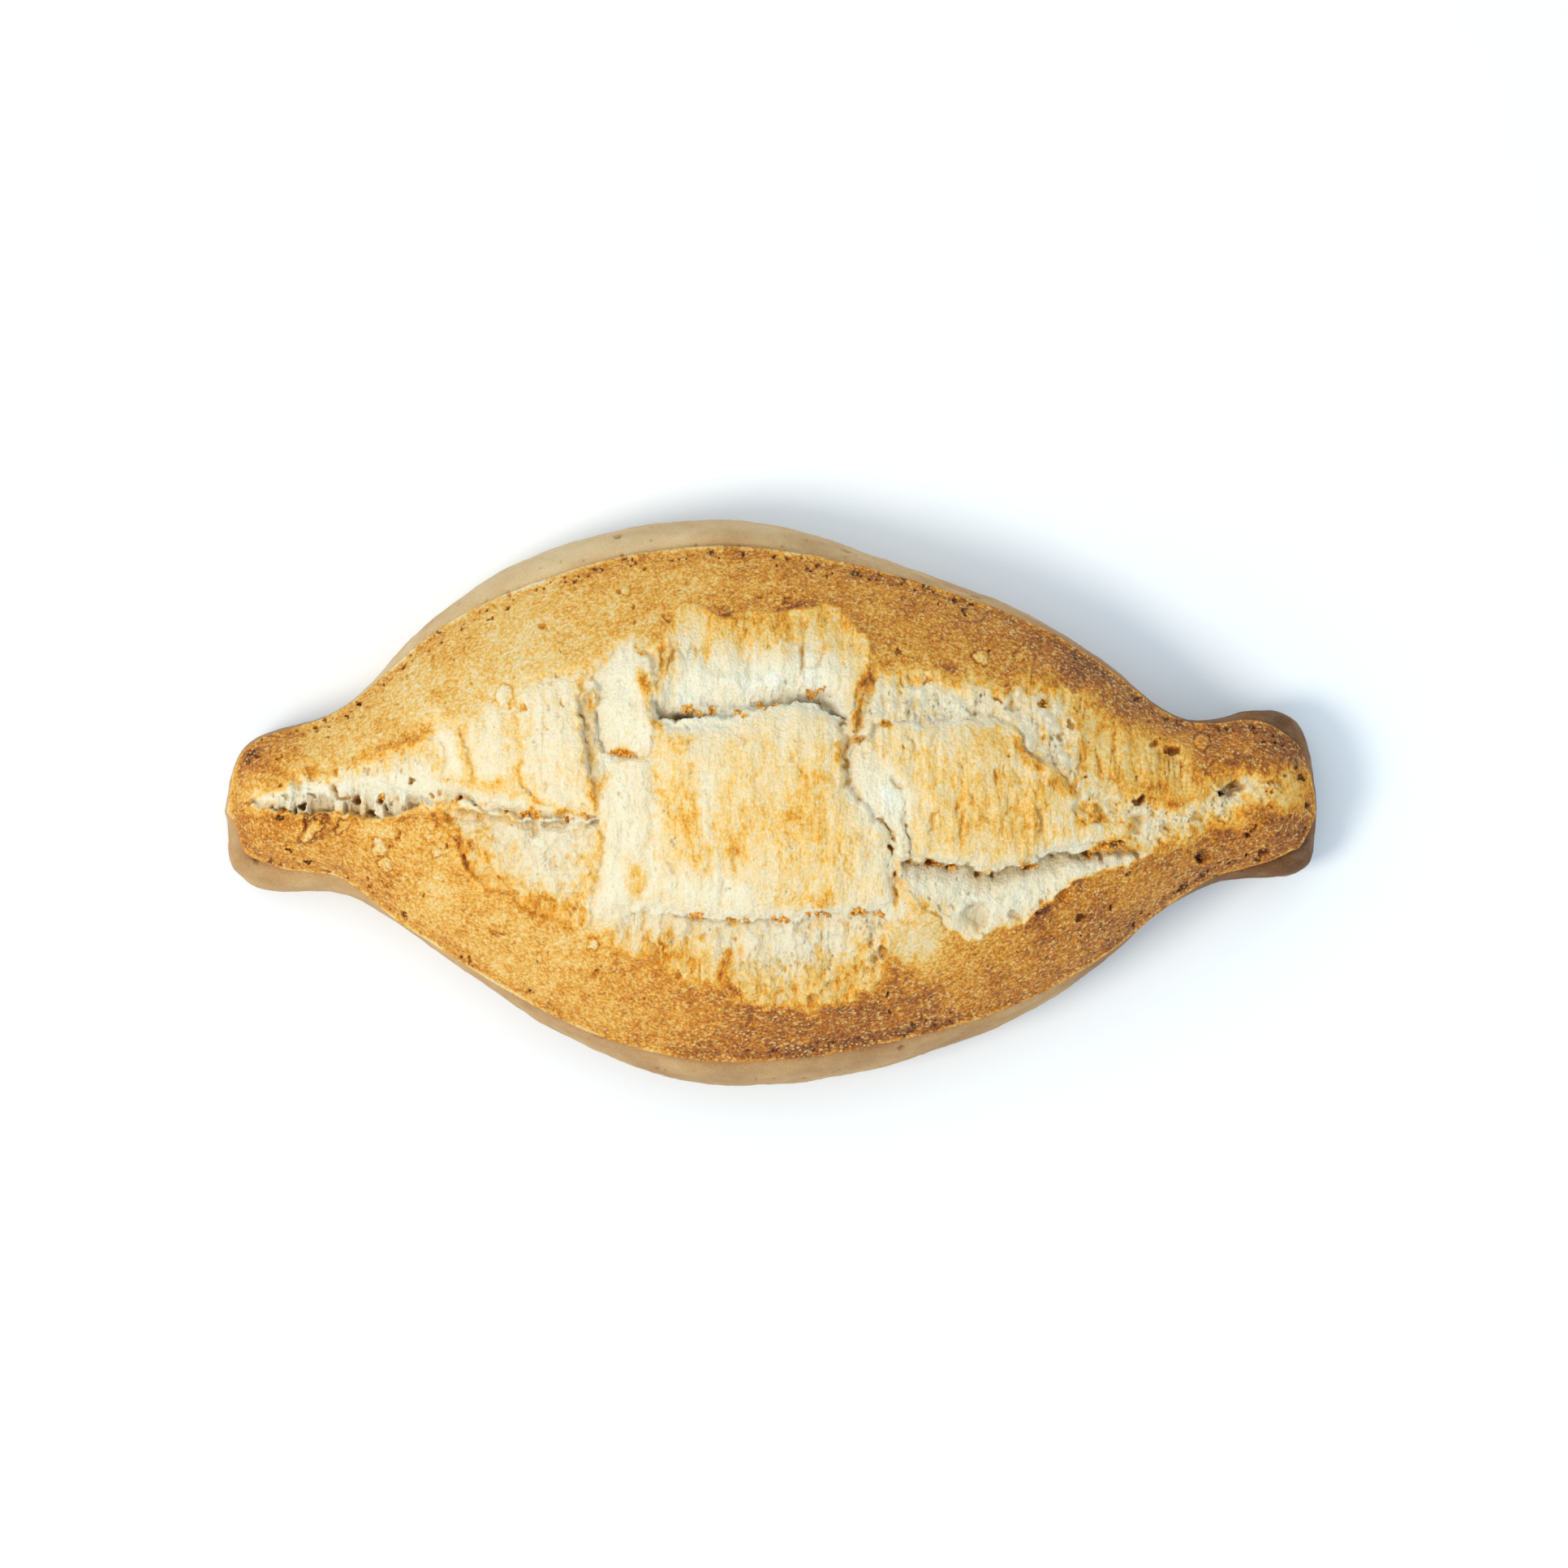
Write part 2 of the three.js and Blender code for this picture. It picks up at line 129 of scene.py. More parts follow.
# ---------------------------------------------------------------------------------------------------
# The torn top. All outlines are [x, y] in millimetres, seen from above
# ---------------------------------------------------------------------------------------------------
# A plate is one piece of the torn top, and lies over the plates before it. Its outline is closed, or is
# made of a crevice and an edge, and then it slopes from the edge down to the crevice.
# level     how far it lies over the dome
# depth     how far down the crevice is, and lip how far its other edges are raised
# round     how far its edges are turned down, over round_width
# tilt      how far it rises for each millimetre along x and y
# bake      how brown it is at the crevice or in its middle, and edge_bake at its edge: the browning
#           begins edge_from of the way up the slope, or edge_width from the edge
# torn      its share of torn dough, not closed crust
# blend     how far its colours run out over its edge
# streak    how strongly it is wrinkled across, strands how stringy it is, pores how full of holes
# hollow    how grey and shaded it is, gap how wide the shade along its crevice is, and breaks how far
#           that closes up in places
PLATES = [
    dict(  # pale dough between the slashes, under everything else
        level=-1.2, bake=0.1, edge_bake=0.22, edge_width=4, torn=1, blend=3,
        outline=[[-47, 33], [-38, 38], [-30, 38], [-10, 30], [20, 30], [30, 31], [60, 28], [78, 26],
                 [90, 4], [84, -12], [60, -18], [33, -16], [30, -30], [-40, -32], [-50, -28], [-62, -10],
                 [-62, 10]]),
    dict(  # the torn slope at the back
        level=0, lip=0.9, depth=8, bake=0.05, edge_bake=0.38, edge_from=0.3, torn=1, blend=1.2,
        streak=1.1, gap=2.6, breaks=0.6,
        crevice=[[-28.5, 22], [-22, 22.6], [-15, 22], [-10, 21.3], [-6, 22.5], [-2, 24], [3, 25],
                 [7, 26.3], [11, 26.2], [14, 25], [19, 21.5]],
        edge=[[20.5, 24], [22, 29], [24, 35], [25, 39], [24.6, 42], [22, 43.5], [19, 46.5], [15, 49.5],
              [10, 49.5], [5, 48.5], [0, 49.3], [-5, 48.5], [-10, 47], [-15, 48], [-19, 49.8],
              [-23, 49.5], [-25, 46], [-27.5, 41], [-29.2, 35], [-29.8, 28]]),
    dict(  # the torn slope at the front
        level=0, lip=0.9, depth=2.8, bake=0.2, edge_bake=0.42, edge_from=0.25, torn=1, blend=1.4,
        streak=1.2, pores=1, hollow=0.12, gap=0.8, breaks=0.9,
        crevice=[[-38, -27.5], [-33, -27.8], [-26, -28.6], [-18, -29], [-10, -29.7], [-5, -30],
                 [2, -29.3], [10, -28.5], [18, -27.2], [25, -27], [30, -29.5]],
        edge=[[30.3, -34], [30, -39], [28, -44], [24, -48], [18, -50.5], [12, -52.3], [6, -52],
              [0, -51.5], [-4, -50.5], [-8.5, -49.5], [-11, -47], [-14, -45.7], [-19, -45.3],
              [-22, -44.2], [-26, -42.7], [-30, -40.3], [-36, -38.3], [-40, -36.7], [-42, -33.5],
              [-40.5, -30]]),
    dict(  # the torn slope over the left cleft
        level=0, lip=0.5, depth=3.2, bake=0.12, edge_bake=0.4, edge_from=0.4, torn=1, blend=2.6,
        streak=0.5, strands=0.15, pores=0.4, gap=1.4, breaks=0.9,
        crevice=[[-134, 0.3], [-128, -0.4], [-122, -1.2], [-117, -2], [-112, -2], [-106, -2.2],
                 [-101, -2.8], [-95, -2.6], [-90, -0.8], [-84, 0.6], [-79, 0.3], [-74, -0.9], [-68, -2.4],
                 [-62, -3.7], [-56, -4], [-50, -4], [-44, -3.4]],
        edge=[[-50, 0], [-58, 0.8], [-63, 3], [-68, 4.2], [-75, 5], [-80, 9], [-85, 17.5], [-90, 15.5],
              [-96, 13.8], [-102, 12], [-107, 10], [-112, 8], [-117, 9.3], [-122, 9], [-124.5, 5.5],
              [-129, 3.2]]),
    dict(  # the stringy cave of the left cleft
        level=-0.6, lip=0, depth=4.6, bake=0.14, edge_bake=0.05, edge_from=0.2, torn=1, blend=0.8,
        streak=0.8, strands=1.3, pores=0.6, hollow=0.75, breaks=0.1,
        crevice=[[-128, -0.9], [-123, -2.2], [-118, -2.8], [-112, -2.8], [-106, -2.9], [-101, -3.5],
                 [-96, -3.2], [-91, -1.6], [-86, -0.4]],
        edge=[[-88, 1.6], [-93, 3.6], [-99, 4.8], [-105, 4.6], [-111, 3.8], [-117, 4.6], [-121, 4.4],
              [-124.5, 2.4]]),
    dict(  # rough crumb under the left cleft, sloping up to the front crust
        level=-0.6, lip=0.6, depth=3, bake=0.2, edge_bake=0.36, edge_from=0.35, torn=1, blend=2.2,
        streak=0.4, strands=0.2, pores=1, hollow=0.1, breaks=0.9,
        crevice=[[-83, -1.5], [-76, -2.2], [-70, -3.2], [-62, -4.9], [-56, -5], [-50, -5], [-43.5, -4.4]],
        edge=[[-43, -9], [-43.3, -15], [-45, -22], [-46, -28], [-47, -31], [-52, -29], [-58, -27.5],
              [-64, -25.5], [-70, -22.5], [-74, -20.3], [-76.8, -16.5], [-78.5, -11.5], [-80, -8],
              [-83, -5]]),
    dict(  # the outer of the three lobes left of the middle
        level=0.2, round=0.8, round_width=1.5, bake=0.17, edge_bake=0.32, edge_width=1.6, torn=0.7,
        blend=3, streak=0.4,
        outline=[[-86, 20], [-80, 19.5], [-77, 12], [-76, 5.5], [-80, 6.5], [-84, 6]]),
    dict(  # the middle lobe
        level=0.6, round=0.9, round_width=1.8, bake=0.22, edge_bake=0.34, edge_width=1.6, torn=0.7,
        blend=2.6, streak=0.8,
        outline=[[-66, 28.5], [-71, 27], [-77, 20.5], [-76.5, 12], [-75.5, 4.5], [-70, 3.2], [-62.5, 3],
                 [-63.3, 9], [-64.3, 18]]),
    dict(  # the inner lobe, beside the dark fissure
        level=0.9, round=1.6, round_width=2.2, bake=0.22, edge_bake=0.36, edge_width=1.3, torn=0.8,
        blend=1.4, streak=0.8, pores=0.25,
        outline=[[-64, 30], [-64, 22], [-63.6, 14], [-63, 8], [-61, 3], [-57.5, -0.8], [-53, -2.2],
                 [-48, -1.2], [-43.8, -3], [-44.5, 3], [-46.8, 8], [-47.6, 15], [-47.5, 24], [-47.8, 30],
                 [-46, 34.5], [-52, 34], [-59, 32]]),
    dict(  # the grey trough right of the inner lobe
        level=-0.6, lip=0, depth=1.6, bake=0.3, edge_bake=0.14, edge_from=0.4, torn=1, blend=0.6,
        streak=1.4, strands=0.35, pores=0.5, hollow=0.36, gap=2.4, breaks=0.1,
        crevice=[[-46.8, 28], [-46.9, 20], [-46.6, 12], [-45, 6], [-43.2, 1.6], [-42.6, -1.6]],
        edge=[[-41.8, 0], [-42, 5], [-42.4, 10], [-42.6, 15], [-42.6, 21], [-43.2, 28], [-44.6, 30.5]]),
    dict(  # the strip left of the middle plate, behind its nick
        level=-0.4, round=0.9, round_width=1.4, tilt=[0.28, 0.05], bake=0.13, edge_bake=0.26,
        edge_width=1.2, torn=0.9, streak=0.6, strands=0.2,
        outline=[[-46, 33], [-41, 37], [-36, 40.5], [-31, 37.5], [-29.3, 31], [-29.7, 24], [-30.2, 12.4],
                 [-36, 12.2], [-41.5, 13.2], [-43.2, 14.5], [-43.8, 20], [-43.2, 28]]),
    dict(  # the strip left of the middle plate, in front of its nick
        level=0.1, round=1.2, round_width=1.5, bake=0.15, edge_bake=0.33, edge_width=1.2, torn=0.9,
        streak=0.6,
        outline=[[-40, 10.6], [-36, 11], [-30.2, 11.2], [-29.7, 0], [-30.3, -12], [-31.5, -20],
                 [-34, -25.8], [-38, -27], [-45.5, -28.5], [-44.6, -20], [-43, -10], [-42.4, -2],
                 [-41.8, 4]]),
    dict(  # the smooth plate in the middle
        level=1.6, round=2, round_width=2.6, bake=0.31, edge_bake=0.2, edge_width=3, torn=0.85,
        streak=0.65,
        outline=[[-29.8, 21], [-25, 20], [-20, 19.3], [-15, 19.5], [-10, 20.3], [-6, 22], [-2, 23.5],
                 [3, 24], [7, 25], [12, 24], [15.5, 22.5], [17.5, 20], [17, 17.5], [18.6, 14], [18.9, 9],
                 [19.5, 5.5], [22, 0.5], [25.5, -2.5], [28.5, -6.5], [30, -10], [30.2, -15], [30.3, -20],
                 [29.5, -25], [25, -26.3], [18, -26.5], [10, -27.5], [0, -28.3], [-8, -28.8], [-15, -28],
                 [-22, -27.5], [-30, -26.5], [-33, -26], [-31, -20], [-29.6, -12], [-29.2, 0], [-29.8, 10]]),
    dict(  # the deep diagonal between the middle and the right plates
        level=-0.3, round=0.4, round_width=1.5, tilt=[0.1, -0.12], bake=0.12, edge_bake=0.2,
        edge_width=1.5, torn=1, streak=0.6,
        outline=[[21, 13.5], [20.2, 9], [20.6, 5.5], [23, 1], [26.5, -2.2], [29.5, -6.5], [31.5, -9.5],
                 [31.2, -14], [33.5, -14], [34.2, -9], [33.3, -4], [32.6, 2.8], [29.3, 7.6], [24, 14]]),
    dict(  # the pale zone behind the right plate
        level=-0.2, lip=0.5, depth=0.9, bake=0.2, edge_bake=0.42, edge_from=0.5, torn=1, blend=2.6,
        streak=1.1, strands=0.35, pores=0.8, hollow=0, gap=0.7, breaks=1,
        crevice=[[20.6, 14], [24, 16.5], [28, 20.3], [33, 21], [42, 21.2], [52, 21.2], [60, 20.6],
                 [66, 14], [72, 9], [77.3, 3]],
        edge=[[80, 9], [79.3, 14], [78.3, 22], [77.5, 28.5], [74, 29.7], [70, 31.3], [64, 32.3],
              [59, 29.8], [54, 31.3], [50, 32], [46, 31.2], [40, 33], [35, 34], [29, 33.3], [26, 36],
              [24, 31], [21, 22]]),
    dict(  # the plate right of the diagonal
        level=0.9, round=0.9, round_width=2.2, bake=0.34, edge_bake=0.24, edge_width=2.5, torn=0.8,
        streak=1,
        outline=[[21.8, 14], [24, 15.5], [28, 19.5], [33, 20.4], [42, 20.4], [52, 20.4], [59.5, 19.8],
                 [65, 13.5], [71, 8.5], [76.8, 2.6], [76, -1], [78, -4.5], [84, -5], [89, -4.5],
                 [92, -8.5], [86, -9.8], [80, -10], [74, -10.8], [68, -12.4], [62, -15], [56, -15.6],
                 [50, -14.2], [44, -13.6], [35, -13.3], [34.8, -9], [34, -3], [33.4, 3], [29.8, 8.2]]),
    dict(  # the torn slope in front of the right plate
        level=-0.2, lip=0.9, depth=5.2, bake=0.13, edge_bake=0.26, edge_from=0.6, torn=1, blend=0.8,
        streak=0.45, pores=0.5, hollow=0.04, gap=3.2, breaks=0.3,
        crevice=[[33, -15], [39, -14.8], [44, -15.2], [50, -15.8], [56, -17.5], [61, -16.8], [66, -14.8],
                 [72, -13], [77, -12], [83, -13], [89, -12], [95, -11.8]],
        edge=[[97, -12.6], [90, -15.5], [84, -17.5], [80, -18.5], [76, -21], [72, -24.3], [69, -26.3],
              [66, -29.5], [62, -31.5], [57, -31.5], [53, -33], [49, -33.5], [45, -31.5], [42, -28.7],
              [37.5, -24.3], [34.3, -21.3], [32.3, -19]]),
    dict(  # stretched skin between the right plate and the right knob
        level=-0.4, round=-0.4, round_width=2, bake=0.38, edge_bake=0.52, edge_width=3, torn=0.7,
        blend=3.2, streak=1.9,
        outline=[[78, 26], [79.3, 14], [80, 9], [86, 6.5], [92, 2.8], [99, 0.3], [106, 0.5], [110, 3],
                 [108, 8], [106, 13], [101, 16], [95, 18], [88, 21], [83, 25]]),
    dict(  # the torn strip that runs out to the right knob
        level=-0.9, round=-0.9, round_width=2, bake=0.2, edge_bake=0.42, edge_width=2.2, torn=1,
        blend=2.6, streak=0.4, pores=0.9,
        outline=[[80, 9.5], [86, 6.5], [92, 2.8], [99, 0.3], [106, 0.2], [110.5, 2.3], [113, 7],
                 [117, 9.3], [122, 8.3], [127, 7.7], [132, 8], [136, 7.5], [137, 3], [134, -1], [128, -1],
                 [121, -1.5], [118.5, -5], [113, -7.8], [108, -9], [102, -9.8], [97, -12.5], [91, -10.5],
                 [89, -4.5], [84, -4.7], [79, -3], [78.3, 3]]),
]

# A ledge is the raised edge of a flap: the surface steps down on the right of the line, as it is
# walked, and falls away from the edge over reach on the left: (height, reach, bake, line).
LEDGES = [
    (1.6, 3, 0.3, [[-63.3, 13], [-63.2, 8.5], [-61.5, 3.5], [-58, -0.6], [-53.5, -2.2], [-49, -1.4]]),
    (1.2, 2.5, 0.06, [[-76.5, 4.5], [-76.3, 11], [-78.8, 19]]),
    (1.1, 2, 0.08, [[-82.6, 5.5], [-83.2, 11], [-83.5, 17]]),
    (1.5, 4, 0.25, [[-10.2, -36], [-10.4, -41], [-10, -45], [-8.8, -49.2]]),
    (1.6, 5, 0.1, [[43.5, -31.2], [38.5, -25.8], [34.5, -22], [32.8, -26]]),
    (1.3, 3.5, 0.18, [[59.5, 19.5], [64, 13.5], [68, 9.5], [71.5, 4.6], [75.8, 2]]),
    (1.3, 2.6, 0.12, [[64, 22.5], [68.5, 19], [71, 13], [76, 4.5]]),
    (1, 2, 0.05, [[70.3, 22], [73, 16], [76.5, 9], [77, 4]]),
    (0.9, 3, 0.05, [[31.2, -9.5], [28.8, -6.4], [25.6, -2.3], [22, 1]]),
    (1.4, 3.2, 0.3, [[76.5, -1.5], [77.5, -4.2], [80.5, -4.9], [83, -3.8]]),
    (1.4, 4, 0.1, [[-48, -31.5], [-56, -28.6], [-63, -26], [-69, -23], [-74, -20], [-77, -16], [-79, -9]]),
    (0.9, 4, 0.08, [[-78, -4.5], [-72.5, -8], [-70.5, -13], [-65, -19], [-58, -23], [-50, -27]]),
    (1.2, 3, 0.2, [[-84, -1.5], [-88, -3.6], [-93, -4.4], [-97, -5]]),
    (1, 3, 0.1, [[-130, -1.4], [-124, -1.6], [-119, -2.4], [-112, -3], [-105, -2.6], [-99, -3.8],
                 [-92, -3]]),
    (1.2, 3, 0.25, [[-119.6, -8.6], [-115, -8.8], [-110.5, -5.4], [-107, -3.2]]),
    (1.2, 2.4, 0.1, [[-135.2, -0.6], [-136, -3.8], [-135.2, -7.5], [-132, -10.2], [-129.8, -13.4]]),
    (0.8, 2, 0.05, [[138, 7.6], [133, 7.2], [128, 6.8], [123.5, 8.2]]),
]

# A fold is a narrow groove (or, with a minus sign, a ridge): (depth, half width, bake, line).
FOLDS = [
    # the dark fissure and the trough beside it, left of the middle
    (-0.8, 0.7, 0.12, [[-48, 27], [-47.8, 18], [-47.4, 11], [-46, 5.6], [-44, 1.4], [-43, -2.4]]),
    (0.6, 0.6, 0.04, [[-46.8, 26], [-46.9, 18], [-46.4, 11], [-44.8, 5], [-43.2, 1.4], [-42.6, -1.8]]),
    (1.6, 0.7, 0.1, [[-43, 28.2], [-43.5, 24.5], [-43.6, 20]]),
    (1, 0.6, 0.2, [[-47, 34], [-47.9, 30], [-47.2, 24]]),
    (1.6, 0.7, 0.1, [[-42, 12.6], [-38, 12.2], [-33, 11.6], [-30.2, 11.4]]),
    # slots and streaks of the back slope
    (2.4, 0.7, 0.1, [[-26.3, 41.6], [-27.8, 38], [-28.6, 33], [-28.8, 28]]),
    (1.9, 0.6, 0.12, [[-24.4, 41.2], [-25.8, 37], [-27, 31]]),
    (0.9, 0.6, 0.05, [[1.5, 27.6], [5.5, 29], [9, 28.6], [13.5, 29.4]]),
    (1.3, 0.6, 0.16, [[8.9, 47.5], [7.9, 42], [7.5, 37], [7.8, 33]]),
    (0.7, 0.5, 0.18, [[-9.8, 46], [-9.5, 41.5]]),
    (0.5, 0.5, 0.14, [[-18.2, 40], [-18.4, 37]]),
    (0.7, 0.5, 0.14, [[-6, 38], [-6.2, 33]]),
    (0.7, 0.6, 0.14, [[14.5, 43], [12.5, 38], [11.2, 34]]),
    (0.7, 0.5, 0.1, [[1.5, 48], [1.6, 43]]),
    # the brown ridge at the right of the back slope, and the crack under it
    (-1.5, 0.9, 0.34, [[25.6, 37], [23.6, 31], [21.8, 25], [20.3, 19], [19.4, 14]]),
    (1.5, 0.7, 0.16, [[26.6, 33], [24.2, 27], [22.3, 21], [20.6, 15]]),
    (2.8, 0.9, 0.3, [[20.2, 17], [19.3, 12], [19.5, 7], [20.6, 4.2]]),
    (1.4, 0.7, 0.2, [[20.6, 5], [22, 1.6], [23.2, 0]]),
    (1.6, 1, 0.1, [[19, 22.3], [17.8, 19.5], [18.2, 16.5]]),
    # the long pale ridge and the nicks of the middle plate
    (-0.6, 0.8, -0.1, [[-16.6, 7], [-15.8, -6], [-13.4, -17], [-11.6, -25]]),
    (0.8, 0.5, 0.14, [[-16.6, 4], [-16, 1.5], [-15.4, -1.6]]),
    (0.7, 0.5, 0.12, [[-17.2, -9.5], [-16, -14], [-15.5, -18.5]]),
    (0.9, 0.5, 0.12, [[-12.6, -18], [-12, -21.5], [-11.3, -24.5]]),
    (0.6, 0.5, 0.16, [[-9.2, -11], [-8.8, -16.5]]),
    (0.6, 0.5, 0.08, [[3.4, -19.5], [2.2, -21], [2, -24.5]]),
    (0.8, 0.7, 0.1, [[-25.3, -15.5], [-25.2, -18.5]]),
    (0.8, 0.6, 0.1, [[-20.6, 16.6], [-20.8, 14.4]]),
    (0.6, 0.5, 0.1, [[-8.2, 18.6], [-6.8, 16], [-6.3, 13.4]]),
    (0.6, 0.5, 0.1, [[5, 14], [6.8, 9.4], [7.2, 6]]),
    (0.5, 0.5, 0.06, [[-3, 17], [-1.5, 12]]),
    (0.8, 0.5, 0.12, [[26, -2.5], [29.5, -6.6], [32, -9.3]]),
    (0.6, 0.5, 0.08, [[20.5, -5], [23.5, -10]]),
    (0.6, 0.5, 0.08, [[16.5, -8], [18.5, -13], [20.5, -18]]),
    (1.4, 0.8, 0.2, [[31, -16.5], [31.3, -21], [30.9, -26.5]]),
    # nicks of the right plate
    (1.8, 0.8, 0.1, [[67.8, 0.2], [67.8, -4], [68.3, -8.6]]),
    (0.9, 0.6, 0.14, [[42.6, -0.6], [41.4, -4], [40.2, -8]]),
    (0.9, 0.6, 0.14, [[48.6, -0.6], [48.2, -4], [47.8, -8.6]]),
    (0.9, 0.6, 0.16, [[51.8, -1.6], [53.6, -3], [55, -5]]),
    (1.1, 0.6, 0.16, [[56.3, 9.4], [56.2, 6.6], [56.8, 4.4]]),
    (0.8, 0.5, 0.12, [[58.2, 8.6], [58.4, 5.6]]),
    (0.9, 0.7, 0.08, [[30, 7.2], [31.6, 5.4], [33.3, 3.8]]),
    (0.5, 0.5, 0.06, [[59.3, 2], [59, -5], [58.8, -9]]),
    (0.6, 0.5, 0.1, [[61, 9], [62.8, 4]]),
    (0.7, 0.5, 0.1, [[35, 18], [36.8, 14], [38.2, 12]]),
    (0.6, 0.5, 0.08, [[49.5, 20], [50.5, 17]]),
    (0.9, 0.6, 0.1, [[61.5, 18.4], [65, 14], [69.6, 9.4]]),
    (1.2, 0.7, 0.12, [[76.8, 13], [77.2, 8], [76.6, 3]]),
    (1, 0.7, 0.05, [[72.6, 18], [75, 12.6]]),
    (1.3, 0.8, 0.16, [[78.8, -0.4], [79.4, -2.4], [80.6, -4]]),
    (1, 0.6, 0.1, [[82.4, -0.6], [83.4, -3.6]]),
    # cracks of the left slope and the crust under it
    (3, 0.5, 0.4, [[-111.6, 4.6], [-110.4, 3], [-109.4, 1.2], [-107.4, 0.9], [-105.6, 0.4]]),
    (1.4, 0.8, 0.1, [[-121.8, 8.8], [-121, 6], [-120.8, 2]]),
    (1, 0.5, 0.35, [[-119.8, -8.8], [-118.5, -5], [-118, -2.6]]),
    (0.8, 0.5, 0.28, [[-112.8, -2.6], [-112.6, -5], [-111, -6.6]]),
    (0.9, 0.6, 0.2, [[-97.4, -8.4], [-97.2, -11.4]]),
    (0.9, 0.6, 0.4, [[-95.6, -8.6], [-93.4, -8.2]]),
    # streaks of the crust beside the right knob
    (1, 0.8, 0.12, [[94.6, 16.5], [95, 11], [95.6, 6.5]]),
    (1.2, 0.9, 0.1, [[97.4, 16.6], [97.8, 11], [98, 7]]),
    (1.2, 1.2, 0.05, [[102, 14], [102.8, 9]]),
    (0.8, 0.6, 0.12, [[107.6, 9], [107.2, 4]]),
    (1.2, 0.7, 0.16, [[124.8, 2.4], [124.6, -1], [124.7, -5]]),
    (0.8, 0.6, 0.14, [[130, 7], [129.6, 2.4]]),
    # cracks of the front and back crust
    (0.5, 0.4, 0.3, [[-78.8, -26.6], [-76.6, -27.4]]),
    (0.5, 0.4, 0.25, [[-73, -31.2], [-70, -32.6], [-66, -33]]),
    (1.6, 0.5, 0.6, [[33, -59.4], [35.4, -58.8]]),
    (0.7, 0.5, 0.2, [[-35.2, 40.2], [-33, 38.2], [-30.6, 36.4]]),
    (0.8, 0.6, 0.2, [[-24.2, 49], [-26.4, 45.4]]),
]

